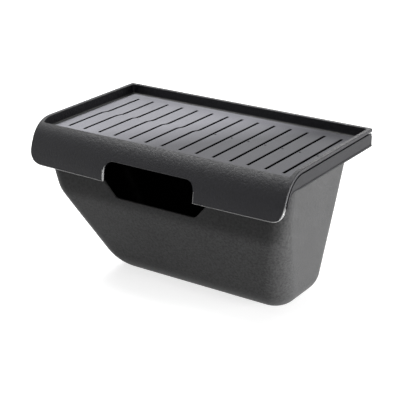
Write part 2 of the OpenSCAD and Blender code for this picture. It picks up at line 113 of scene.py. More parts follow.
class MeshKit:
    """Collects grids and outlines of points and turns them into one object."""

    def __init__(self) -> None:
        """Starts with no points and no faces."""
        self.points: list[np.ndarray] = []
        self.faces: list[np.ndarray] = []
        self.caps: list[list[int]] = []
        self.marks: list[np.ndarray] = []
        self.count = 0

    def add_points(self, points: np.ndarray, mark: float | np.ndarray = 0.0) -> np.ndarray:
        """Adds points and returns their numbers in the shape of the input.

        Args:
            points: Array of shape (..., 3).
            mark: A value kept with each point, for the materials to read.

        Returns:
            Array of point numbers of shape (...).
        """
        shape = points.shape[:-1]
        flat = points.reshape(-1, 3)
        self.points.append(flat)
        self.marks.append(np.broadcast_to(np.asarray(mark, float), shape).reshape(-1))
        numbers = np.arange(self.count, self.count + len(flat)).reshape(shape)
        self.count += len(flat)
        return numbers

    def add_grid(self, points: np.ndarray, around: bool = False, flip: bool = False,
                 mark: float | np.ndarray = 0.0) -> None:
        """Adds a grid of four-sided faces.

        Args:
            points: Array of shape (rows, columns, 3).
            around: Whether the last column meets the first.
            flip: Whether the faces are turned over.
            mark: A value kept with each point.
        """
        n = self.add_points(points, mark)
        if around:
            n = np.concatenate([n, n[:, :1]], axis=1)
        quads = np.stack([n[:-1, :-1], n[1:, :-1], n[1:, 1:], n[:-1, 1:]], axis=-1).reshape(-1, 4)
        self.faces.append(quads[:, ::-1] if flip else quads)

    def add_cap(self, loop: np.ndarray, flip: bool = False, mark: float = 0.0) -> None:
        """Adds one flat face inside a loop of points.

        Args:
            loop: Array of shape (n, 3).
            flip: Whether the face is turned over.
            mark: A value kept with each point.
        """
        numbers = self.add_points(loop, mark)
        self.caps.append((numbers[::-1] if flip else numbers).tolist())

    def add_prism(self, outline: np.ndarray, along: np.ndarray, soft: float = 0.4,
                  steps: int = 3) -> None:
        """Adds an outline carried along a straight line, with its end edges rounded.

        The section at a turn a from 0 to 90 degrees is the outline drawn in by
        soft * (1 - sin a), at soft * (1 - cos a) from the end.

        Args:
            outline: Array of shape (n, 3), a flat loop.
            along: Vector from the first end to the other.
            soft: Radius of the end edges.
            steps: Flat steps in the rounding.
        """
        length = float(np.linalg.norm(along))
        way = along / length
        turn = quarter_turn(steps)
        ins = np.concatenate([soft * (1 - np.sin(turn)), soft * (1 - np.cos(turn))])
        far = np.concatenate([soft * (1 - np.cos(turn)), length - soft * (1 - np.sin(turn))])
        rings = np.stack([draw_in(outline, way, i) + way * d for i, d in zip(ins, far)])
        self.add_grid(rings, around=True)
        self.add_cap(rings[0])
        self.add_cap(rings[-1], flip=True)

    def build(self, name: str, datum: Datum, material: bpy.types.Material, body: str,
              slot: str) -> bpy.types.Object:
        """Makes the object, joins what touches and lets it ride on a body.

        Args:
            name: Name of the new piece.
            datum: Moves the points into the shared frame.
            material: Its finish.
            body: Name of the body that it rides on.
            slot: Name of a material slot; not used.

        Returns:
            The new object.
        """
        points = datum.place(np.concatenate(self.points).astype(float))
        mesh = bpy.data.meshes.new(name)
        mesh.from_pydata(points.tolist(), [], np.concatenate(self.faces).tolist() + self.caps)
        mark = mesh.attributes.new("mark", "FLOAT", "POINT")
        mark.data.foreach_set("value", np.concatenate(self.marks).astype(np.float32))
        join_and_turn_outward(mesh)
        mesh.polygons.foreach_set("use_smooth", np.ones(len(mesh.polygons), bool))
        mesh.materials.append(material)
        piece = put_in(name, mesh)
        piece.modifiers.new("even_shading", "WEIGHTED_NORMAL").keep_sharp = False
        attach(piece, body)
        LOG.info("%s: %d faces", name, len(mesh.polygons))
        return piece


def put_in(name: str, data: bpy.types.ID) -> bpy.types.Object:
    """Adds an object to the scene.

    Args:
        name: Its name.
        data: Its mesh, lamp or camera.

    Returns:
        The object.
    """
    made = bpy.data.objects.new(name, data)
    bpy.context.scene.collection.objects.link(made)
    return made


def join_and_turn_outward(mesh: bpy.types.Mesh) -> None:
    """Joins points that meet, then turns every closed shell's faces outwards.

    Args:
        mesh: The mesh, changed in place.
    """
    work = bmesh.new()
    work.from_mesh(mesh)
    bmesh.ops.remove_doubles(work, verts=work.verts, dist=JOIN_DISTANCE)
    bmesh.ops.recalc_face_normals(work, faces=work.faces)
    work.to_mesh(mesh)
    work.free()


def draw_in(outline: np.ndarray, way: np.ndarray, inset: float) -> np.ndarray:
    """Returns a flat loop drawn in by an inset, along the mean of its sides' normals.

    Args:
        outline: Array of shape (n, 3).
        way: The loop's normal, a unit vector.
        inset: Distance inwards, in millimetres.

    Returns:
        Array of shape (n, 3).
    """
    if inset == 0:
        return outline.copy()
    ahead = unit(np.roll(outline, -1, axis=0) - outline, 1e-9)
    mean = unit(ahead + np.roll(ahead, 1, axis=0), 1e-9)
    area = np.cross(outline, np.roll(outline, -1, axis=0)).sum(axis=0) @ way
    inward = np.cross(way, mean) * math.copysign(1.0, area)
    miter = np.maximum((mean * ahead).sum(axis=1, keepdims=True), 0.5)
    return outline + inward * inset / miter


def smooth(u: np.ndarray) -> np.ndarray:
    """Returns 3u^2 - 2u^3 with u held between 0 and 1."""
    v = np.clip(u, 0.0, 1.0)
    return v * v * (3.0 - 2.0 * v)


def rounded_loop(x0: float, y0: float, x1: float, y1: float, r: float, corner: int = 10,
                 side: int = 1) -> np.ndarray:
    """Returns a rounded rectangle as (n, 2) points, anticlockwise from the right rear.

    Args:
        x0: Left side.
        y0: Front side.
        x1: Right side.
        y1: Rear side.
        r: Corner radius.
        corner: Steps in each corner.
        side: Steps along each straight side.

    Returns:
        Array of shape (4 * (corner + side), 2).
    """
    turn = quarter_turn(corner)
    centres = [(x1 - r, y1 - r), (x0 + r, y1 - r), (x0 + r, y0 + r), (x1 - r, y0 + r)]
    arcs = [np.array(centre)
            + r * np.stack([np.cos(turn + q * QUARTER), np.sin(turn + q * QUARTER)], 1)
            for q, centre in enumerate(centres)]
    share = np.linspace(0, 1, side + 1)[1:-1, None]
    parts = []
    for arc, following in zip(arcs, arcs[1:] + arcs[:1]):
        parts += [arc, arc[-1] * (1 - share) + following[0] * share]
    return np.concatenate(parts)


def lift(loop: np.ndarray, axis: int, value: float) -> np.ndarray:
    """Returns a (n, 2) loop as (n, 3) points with one axis held at a value."""
    return np.insert(loop, axis, value, axis=1)


def unit(vectors: np.ndarray, least: float = 0.0) -> np.ndarray:
    """Returns the vectors, each divided by its length or by a least length."""
    return vectors / np.maximum(np.linalg.norm(vectors, axis=-1, keepdims=True), least)


def along_line(points: np.ndarray, count: int) -> np.ndarray:
    """Returns points evenly spaced by length along a broken line.

    Args:
        points: Array of shape (n, k).
        count: How many points to return.

    Returns:
        Array of shape (count, k).
    """
    steps = np.concatenate([[0], np.cumsum(np.linalg.norm(np.diff(points, axis=0), axis=1))])
    at = np.linspace(0, steps[-1], count)
    return np.stack([np.interp(at, steps, points[:, k]) for k in range(points.shape[1])], 1)


def quarter_turn(steps: int, ndim: int = 1) -> np.ndarray:
    """Returns the angles from 0 to 90 degrees, with one angle for each row of ndim axes."""
    return np.radians(np.linspace(0, 90, steps + 1)).reshape((-1,) + (1,) * (ndim - 1))


# --------------------------------------------------------------------------
# Finishes
# --------------------------------------------------------------------------


class Wires:
    """A small helper that makes and joins the nodes of one material or surround."""

    def __init__(self, owner: bpy.types.Material | bpy.types.World,
                 shader: str = "Principled BSDF") -> None:
        """Starts with the owner's one shader.

        Args:
            owner: The material or surround.
            shader: Name of the shader that it starts with.
        """
        owner.use_nodes = True
        self.owner = owner
        self.tree = owner.node_tree
        self.shader = self.tree.nodes[shader]
        self.place = self.node("ShaderNodeTexCoord").outputs["Object"]

    @classmethod
    def material(cls, name: str) -> "Wires":
        """Returns the wires of a new material."""
        return cls(bpy.data.materials.new(name))

    def node(self, kind: str, **settings: object) -> bpy.types.Node:
        """Makes a node.

        Args:
            kind: Blender's name for it.
            settings: Its settings.

        Returns:
            The node.
        """
        made = self.tree.nodes.new(kind)
        for key, value in settings.items():
            setattr(made, key, value)
        return made

    def join(self, source: bpy.types.NodeSocket, target: bpy.types.NodeSocket) -> None:
        """Joins an output to an input."""
        self.tree.links.new(source, target)

    def feed(self, target: bpy.types.NodeSocket, value: object) -> None:
        """Gives an input a socket, a number or a colour.

        Args:
            target: The input.
            value: An output to join to it, a number, or a colour of three parts.
        """
        if isinstance(value, bpy.types.NodeSocket):
            self.join(value, target)
        elif isinstance(value, tuple):
            target.default_value = (*value, 1.0)
        else:
            target.default_value = float(value)

    def finish(self, **values: object) -> bpy.types.Material | bpy.types.World:
        """Feeds the shader's inputs and returns the owner.

        Args:
            values: What each input gets, by its name with _ for a space.

        Returns:
            The material or surround.
        """
        for key, value in values.items():
            self.feed(self.shader.inputs[key.replace("_", " ")], value)
        return self.owner

    def axes(self) -> tuple[bpy.types.NodeSocket, ...]:
        """Returns x, y and z in object space."""
        split = self.node("ShaderNodeSeparateXYZ")
        self.join(self.place, split.inputs["Vector"])
        return tuple(split.outputs)

    def mark(self) -> bpy.types.NodeSocket:
        """Returns the value kept with the mesh's points."""
        return self.node("ShaderNodeAttribute", attribute_name="mark").outputs["Fac"]

    def noise(self, scale: float, detail: float = 4.0, rough: float = 0.6,
              stretch: Colour = (1.0, 1.0, 1.0)) -> bpy.types.NodeSocket:
        """Returns a noise in object space.

        Args:
            scale: Features for each metre.
            detail: Number of finer layers.
            rough: Strength of the finer layers.
            stretch: Scale along x, y and z.

        Returns:
            The noise, about 0.5 at its mean.
        """
        mapping = self.node("ShaderNodeMapping")
        mapping.inputs["Scale"].default_value = stretch
        self.join(self.place, mapping.inputs["Vector"])
        made = self.node("ShaderNodeTexNoise")
        for key, value in (("Scale", scale), ("Detail", detail), ("Roughness", rough)):
            made.inputs[key].default_value = value
        self.join(mapping.outputs["Vector"], made.inputs["Vector"])
        return made.outputs["Fac"]

    def ramp(self, source: bpy.types.NodeSocket, low: float, high: float, first: Colour,
             last: Colour) -> bpy.types.NodeSocket:
        """Returns a colour that goes with a source.

        Args:
            source: What the colour goes with.
            low: Source at the first colour, not under 0.
            high: Source at the last colour, not over 1.
            first: Colour at low and under it.
            last: Colour at high and over it.

        Returns:
            The colour.
        """
        made = self.node("ShaderNodeValToRGB")
        for stop, at, colour in zip(made.color_ramp.elements, (low, high), (first, last)):
            stop.position = at
            stop.color = (*colour, 1.0)
        self.join(source, made.inputs["Fac"])
        return made.outputs["Color"]

    def level(self, source: bpy.types.NodeSocket, low: float, high: float, first: float,
              last: float) -> bpy.types.NodeSocket:
        """Returns a grey ramp from a first level to a last one."""
        return self.ramp(source, low, high, (first,) * 3, (last,) * 3)

    def math(self, operation: str, a: object, b: object = 0.0,
             c: object = 0.0) -> bpy.types.NodeSocket:
        """Returns the result of a sum on sockets or numbers.

        Args:
            operation: Blender's name for the sum.
            a: The first socket or number.
            b: The second.
            c: The third.

        Returns:
            The result.
        """
        made = self.node("ShaderNodeMath", operation=operation)
        for socket, value in zip(made.inputs, (a, b, c)):
            self.feed(socket, value)
        return made.outputs["Value"]

    def length(self, vector: bpy.types.NodeSocket) -> bpy.types.NodeSocket:
        """Returns a vector's length.

        Args:
            vector: The vector.

        Returns:
            Its length.
        """
        made = self.node("ShaderNodeVectorMath", operation="LENGTH")
        self.join(vector, made.inputs[0])
        return made.outputs["Value"]

    def shown(self) -> bpy.types.NodeSocket:
        """Returns 1 for camera, glossy and transmission rays and 0 for the rest."""
        rays = self.node("ShaderNodeLightPath").outputs
        mirrored = self.math("MAXIMUM", rays["Is Glossy Ray"], rays["Is Transmission Ray"])
        return self.math("MAXIMUM", rays["Is Camera Ray"], mirrored)

    def blend(self, share: object, first: object, last: object,
              kind: str = "MIX") -> bpy.types.NodeSocket:
        """Returns first blended with last by a share.

        Args:
            share: A socket or a number.
            first: A colour or a socket.
            last: A colour or a socket.
            kind: The way of blending.

        Returns:
            The colour.
        """
        made = self.node("ShaderNodeMix", data_type="RGBA", blend_type=kind)
        for socket, value in zip((made.inputs[0], *made.inputs[6:8]), (share, first, last)):
            self.feed(socket, value)
        return made.outputs[2]

    def times(self, first: object, last: object) -> bpy.types.NodeSocket:
        """Returns the product of two colours or sockets."""
        return self.blend(1.0, first, last, "MULTIPLY")

    def bump(self, height: bpy.types.NodeSocket, strength: float, depth: float,
             under: bpy.types.NodeSocket | None = None) -> bpy.types.NodeSocket:
        """Returns a bumped normal.

        Args:
            height: The height, from 0 to 1.
            strength: Share of the full effect.
            depth: Height of the relief in metres.
            under: A bumped normal that this one lies on.

        Returns:
            The normal.
        """
        made = self.node("ShaderNodeBump")
        made.inputs["Strength"].default_value = strength
        made.inputs["Distance"].default_value = depth
        self.join(height, made.inputs["Height"])
        if under is not None:
            self.join(under, made.inputs["Normal"])
        return made.outputs["Normal"]


def tint(colour: Colour, share: float) -> Colour:
    """Returns a colour times a share."""
    return tuple(part * share for part in colour)


@dataclass(frozen=True)
class MouldedPlastic:
    """Charcoal moulded plastic with a mottled hide texture under a fine grain.
    It takes a painted highlight where the mesh's mark is set, and a painted shadow of
    the apron on the tub's front above the knee.

    Attributes:
        name: Name of the material.
        colour: Its colour, linear.
        roughness: Mean roughness.
        grain: Strength of the fine texture.
        sheen: Specular level.
        hide: Depth in metres of the mottled hide texture under the fine grain.
        upper: How much of the tone is left on the front above the knee, under the apron's
            painted shadow.
        grain_scale: Grains for each metre.
        hide_scale: Mottles for each metre.
        painted_highlight: Colour where the mesh's mark is 1, a painted highlight on lit edges.
        knee: Heights in metres over which the painted apron shadow fades in.
        front: Places in y, in metres behind front_from, over which it fades out behind the front.
        front_from: Where front is measured from, in metres.
    """

    name: str
    colour: Colour
    roughness: float = 0.5
    grain: float = 0.35
    sheen: float = 0.5
    hide: float = 0.00025
    upper: float = 1.0
    grain_scale: float = 2600.0
    hide_scale: float = 430.0
    painted_highlight: Colour = (0.22, 0.22, 0.22)
    knee: tuple[float, float] = (0.085, 0.096)
    front: tuple[float, float] = (0.025, 0.036)
    front_from: float = -0.1

    def make(self) -> bpy.types.Material:
        """Returns the material: bumped grain, slow tone changes, painted highlight and shadow."""
        w = Wires.material(self.name)
        fine = w.noise(self.grain_scale, 2.0, 0.7)
        mottle = w.noise(self.hide_scale, 3.0, 0.7)
        tone = w.ramp(w.noise(9.0, 3.0), 0.3, 0.7, tint(self.colour, 0.9), tint(self.colour, 1.12))
        made = w.times(tone, w.ramp(mottle, 0.36, 0.64, (0.72, 0.72, 0.73), (1.3, 1.3, 1.31)))
        # painted highlight where the mesh's mark is set, blended over the tone
        return w.finish(Base_Color=w.blend(w.mark(), self.shade(w, made), self.painted_highlight),
                        Specular_IOR_Level=self.sheen,
                        Roughness=w.math("MULTIPLY_ADD", mottle, 0.6, self.roughness - 0.3),
                        Normal=w.bump(fine, self.grain, 0.00012, w.bump(mottle, 0.3, self.hide)))

    def shade(self, w: Wires, made: bpy.types.NodeSocket) -> bpy.types.NodeSocket:
        """Returns the tone with the apron's shadow painted on: darker on the front above the knee.

        Args:
            w: The material's nodes.
            made: The tone elsewhere.

        Returns:
            The tone.
        """
        _, y, z = w.axes()
        above = w.level(z, *self.knee, 0.0, 1.0)
        ahead = w.level(w.math("ADD", y, -self.front_from), *self.front, 1.0, 0.0)
        # painted shadow of the apron on the front above the knee, blended towards a tenth of the
        # colour
        band = w.math("MULTIPLY", w.math("MULTIPLY", above, ahead), 1.0 - self.upper)
        return w.blend(band, made, tint(self.colour, 0.1))


@dataclass(frozen=True)
class MatRubber:
    """Ribbed mat: fine lengthwise pinstripes, grooves and dimples painted dark as shade, and a
    sheen painted lighter towards the rear left.

    Attributes:
        name: Name of the material.
        colour: Colour of the ribs' tops, linear.
        groove: Colour painted at the bottom of a groove and in a dimple as shade, linear.
        pitch: Spacing of the pinstripes in metres.
        dimple_pitch: Spacing of the dimples in metres.
        dimple_at: x and y of the first dimple in metres.
        dimple_r: Radius of a dimple in metres.
    """

    name: str
    colour: Colour
    groove: Colour
    pitch: float = 0.0011
    dimple_pitch: float = 0.0195
    dimple_at: tuple[float, float] = (0.01345, 0.0062)
    dimple_r: float = 0.0012

    def make(self) -> bpy.types.Material:
        """Returns the material; the mesh's mark is 1 at the bottom of a groove, painted dark as
        shade.
        """
        w = Wires.material(self.name)
        x, y, _ = w.axes()
        fine = w.noise(1800.0, 2.0, 0.7)
        tone = w.ramp(w.noise(14.0, 3.0), 0.3, 0.7, tint(self.colour, 0.93),
                      tint(self.colour, 1.07))
        # painted sheen: the tone is lighter towards the rear left and darker towards the front
        # right
        across = w.math("SUBTRACT", w.math("MULTIPLY_ADD", y, 0.9, 0.04), x)
        painted_light = w.times(tone, w.level(across, 0.0, 0.09, 0.46, 1.3))
        made = w.times(painted_light, w.ramp(fine, 0.3, 0.7, (0.86, 0.86, 0.87), (1.14, 1.14, 1.15)))
        # painted shade: groove bottoms and dimples go near-black, with less sheen and more
        # roughness
        depth = w.math("MAXIMUM", w.mark(), w.math("MULTIPLY", self.dimples(w, x, y), 0.8))
        wave = w.math("SINE", w.math("MULTIPLY", x, 2 * math.pi / self.pitch))
        return w.finish(Base_Color=w.blend(depth, made, self.groove),
                        Specular_IOR_Level=w.math("MULTIPLY_ADD", depth, -0.12, 0.12),
                        Roughness=w.math("MULTIPLY_ADD", depth, 0.35, 0.6),
                        Normal=w.bump(fine, 0.5, 0.00015, w.bump(wave, 0.25, 0.00006)))

    def dimples(self, w: Wires, x: bpy.types.NodeSocket,
                y: bpy.types.NodeSocket) -> bpy.types.NodeSocket:
        """Returns 1 in the dimples, one row of them over the right half, and 0 elsewhere.

        Args:
            w: The material's nodes.
            x: Place across the mat.
            y: Place along the mat.

        Returns:
            The share of a dimple.
        """
        half = self.dimple_pitch / 2
        beside = w.node("ShaderNodeCombineXYZ")
        along = w.math("SUBTRACT", x, self.dimple_at[0])
        w.join(w.math("WRAP", along, -half, half), beside.inputs["X"])
        w.join(w.math("SUBTRACT", y, self.dimple_at[1]), beside.inputs["Y"])
        # the dimples have no shape of their own; they are painted dark as shade
        inside = w.math("LESS_THAN", w.length(beside.outputs["Vector"]), self.dimple_r)
        return w.math("MULTIPLY", inside, w.math("GREATER_THAN", x, 0.0))


@dataclass(frozen=True)
class ZincSteel:
    """Zinc-plated steel, lightly streaked along its turning marks.

    Attributes:
        name: Name of the material.
        colour: Its colour, linear.
    """

    name: str = "zinc_steel"
    colour: Colour = (0.55, 0.55, 0.56)

    def make(self) -> bpy.types.Material:
        """Returns the material."""
        w = Wires.material(self.name)
        streak = w.noise(900.0, 3.0, 0.6, (0.2, 1.0, 1.0))
        tone = w.ramp(streak, 0.3, 0.7, tint(self.colour, 0.8), self.colour)
        return w.finish(Metallic=1.0, Base_Color=tone,
                        Roughness=w.math("MULTIPLY_ADD", streak, 0.2, 0.25),
                        Normal=w.bump(streak, 0.15, 0.00005))


@dataclass(frozen=True)
class BlackRubber:
    """Matt black rubber with a fine pebbled surface.

    Attributes:
        name: Name of the material.
        colour: Its colour, linear.
    """

    name: str = "black_rubber"
    colour: Colour = (0.02, 0.02, 0.02)

    def make(self) -> bpy.types.Material:
        """Returns the material."""
        w = Wires.material(self.name)
        fine = w.noise(1500.0, 3.0, 0.6)
        tone = w.ramp(fine, 0.3, 0.7, tint(self.colour, 0.7), tint(self.colour, 1.5))
        return w.finish(Base_Color=tone, Roughness=0.75, Normal=w.bump(fine, 0.4, 0.0001))


# --------------------------------------------------------------------------
# The lid's curves and the hinge
# --------------------------------------------------------------------------


@dataclass(frozen=True)
class Hinge:
    """The hinge's axis, and the knuckles of the lid and the frame, in millimetres.

    Attributes:
        back: From the lid's rear edge back to the axis.
        drop: From the rim's top down to the axis.
        x: From the middle of the lid to the middle of a lid knuckle.
        lid_w: Width of a lid knuckle.
        frame_w: Width of a frame knuckle.
        gap: Space between two knuckles.
        outer: Radius of a knuckle.
        bore: Radius of its bore.
        soft: Rounding of its ends.
        around: Flat sides round a knuckle.
    """

    back: float = 4.5
    drop: float = 8.0
    x: float = 95.0
    lid_w: float = 16.0
    frame_w: float = 8.0
    gap: float = 0.4
    outer: float = 3.79
    bore: float = 2.05
    soft: float = 0.4
    around: int = 40

    def add_knuckle(self, kit: MeshKit, x0: float, x1: float, lid_depth: float) -> None:
        """Adds a knuckle: a closed section of a tube's wall, carried round the axis.

        Args:
            kit: Where it goes.
            x0: Its left end.
            x1: Its right end.
            lid_depth: Place in y of the lid's rear edge.
        """
        near, step = self.outer - self.soft, self.soft * 0.3
        half = np.array([[x0 + self.soft, self.outer], [x0 + step, self.outer - step], [x0, near],
                         [x0, self.bore]])
        profile = np.concatenate([half, half[::-1] * (-1, 1) + (x0 + x1, 0)])
        turn = np.linspace(0, 2 * math.pi, self.around, endpoint=False)
        x, r = np.broadcast_arrays(profile[:, :1], turn)[0], profile[:, 1:]
        y, z = lid_depth + self.back + r * np.cos(turn), r * np.sin(turn) - self.drop
        ring = np.stack([x, y, z], -1)
        kit.add_grid(np.concatenate([ring, ring[:1]]), around=True)


@dataclass
class LidShape:
    """The sizes of the lid, and the surface of its rims and apron.

    All lengths are in millimetres. The rims run on into the apron along one
    curve, and the tray is a pocket sunk into them with its own front wall.

    Attributes:
        half_w, depth: Half the width, and the depth from the apron's foot.
        lip, wall: Thickness of the rims and apron, and of the tray's walls.
        rim_w: Width of a rim.
        mat_top, floor, under: Depths of the mat's face, the tray's floor and its underside.
        drop, nose: Height of the apron, and how far back its curve starts.
        tray_front, tray_r: Place of the tray's front wall, and its corner radius.
        bow: How far the apron's foot bows to the front.
        corner_r, plan_r: Corner radius of the apron's foot, and of the rims' rear.
        slot_left, slot_right, slot_top, slot_r: The hand slot's sides, top and corner radius.
        rim_soft, crest_soft: Radii of the rims' and the crest's inner edge.
        fillet: Radius between the walls and the floor.
        edge, edge_foot: Radius of the face's rolled edge, at the rims and at the foot.
        edge_in, edge_in_foot: The same for the back's edge.
    """

    half_w: float = 150.0
    depth: float = 177.6
    lip: float = 3.2
    rim_w: float = 4.7
    wall: float = 2.2
    mat_top: float = 10.1
    floor: float = 11.0
    under: float = 13.3
    drop: float = 44.1
    nose: float = 33.5
    tray_front: float = 18.8
    tray_r: float = 3.0
    bow: float = 1.95
    corner_r: float = 14.0
    plan_r: float = 2.5
    slot_left: float = -54.0
    slot_right: float = 52.0
    slot_top: float = -22.4
    slot_r: float = 10.0
    rim_soft: float = 0.7
    crest_soft: float = 1.3
    fillet: float = 2.0
    edge: float = 0.8
    edge_foot: float = 1.6
    edge_in: float = 0.5
    edge_in_foot: float = 1.4

    def curve(self, t: np.ndarray) -> tuple[np.ndarray, np.ndarray]:
        """Returns points and unit directions of the rims' curve.

        The point is the sum of the Bernstein weights of t times the four
        control points, and the direction is its derivative.

        Args:
            t: Places along the curve, from 0 at the flat rims to 1 at the foot.

        Returns:
            Two arrays with a last axis of (y, z).
        """
        c = np.array([[self.nose, 0.0], [self.nose * 0.33, 0.0], [0.0, -self.drop * 0.46],
                      [0.0, -self.drop]])
        t = t[..., None]
        s = 1 - t
        point = s ** 3 * c[0] + 3 * s * s * t * c[1] + 3 * s * t * t * c[2] + t ** 3 * c[3]
        along = s * s * (c[1] - c[0]) + 2 * s * t * (c[2] - c[1]) + t * t * (c[3] - c[2])
        return point, unit(along)

    def apron(self, x: np.ndarray, t: np.ndarray, deep: float = 0.0) -> np.ndarray:
        """Returns points of the apron at x and t, set in from its face.

        Args:
            x: Places across the lid.
            t: Places down the apron, of the same shape.
            deep: Depth below the face.

        Returns:
            Array with a last axis of (x, y, z).
        """
        point, along = self.curve(t)
        y = point[..., 0] - self.bow * t * (1 - (x / self.half_w) ** 2) - deep * along[..., 1]
        return np.stack([x, y, point[..., 1] + deep * along[..., 0]], axis=-1)

    def t_for(self, x: np.ndarray, value: np.ndarray, axis: int, deep: float = 0.0) -> np.ndarray:
        """Returns the t at which the apron at x comes down to a value, by halving.

        Args:
            x: Places across the lid.
            value: Value looked for, of the same shape.
            axis: 1 for a place in y, 2 for a height.
            deep: Depth below the face.

        Returns:
            Array of t, 0 wherever the value lies behind the curve.
        """
        low, high = np.zeros_like(x), np.ones_like(x)
        for _ in range(40):
            half = (low + high) / 2
            before = self.apron(x, half, deep)[..., axis] > value
            low, high = np.where(before, half, low), np.where(before, high, half)
        return (low + high) / 2

    def rounded(self, x: np.ndarray, y: np.ndarray) -> tuple[np.ndarray, np.ndarray]:
        """Returns plan points with the corners of each ring round the tray bent to an arc.

        A ring at the offset d from the edges has the corner radius R(d). With q
        = 45 degrees * (1 - (e - d) / R), its point at the offset e from the
        other edge goes to the offsets d + R (1 - cos q) and d + R (1 - sin q).

        Args:
            x: Places across the lid.
            y: Places back from the apron's foot, of the same shape.

        Returns:
            The bent x and y.
        """
        side = self.half_w - np.abs(x)
        rear = self.depth - y
        front = y - self.tray_front + self.rim_w
        end = np.minimum(rear, front)
        d, e = np.minimum(side, end), np.maximum(side, end)
        inner = self.rim_w + self.tray_r
        at_rear = np.interp(d, [0, self.rim_w, inner], [self.plan_r, self.tray_r, 0])
        at_front = np.interp(d, [2.4, self.rim_w, inner], [0, self.tray_r, 0])
        radius = np.where(rear < front, at_rear, at_front) + 1e-6
        turn = np.radians(45) * np.clip(1 - (e - d) / radius, 0, 1)
        near = d + radius * (1 - np.cos(turn))
        far = np.where(turn > 0, d + radius * (1 - np.sin(turn)), e)
        new_side, new_end = np.where(side <= end, (near, far), (far, near))
        new_y = np.where(rear < front, self.depth - new_end, self.tray_front - self.rim_w + new_end)
        return np.sign(x) * (self.half_w - new_side), new_y


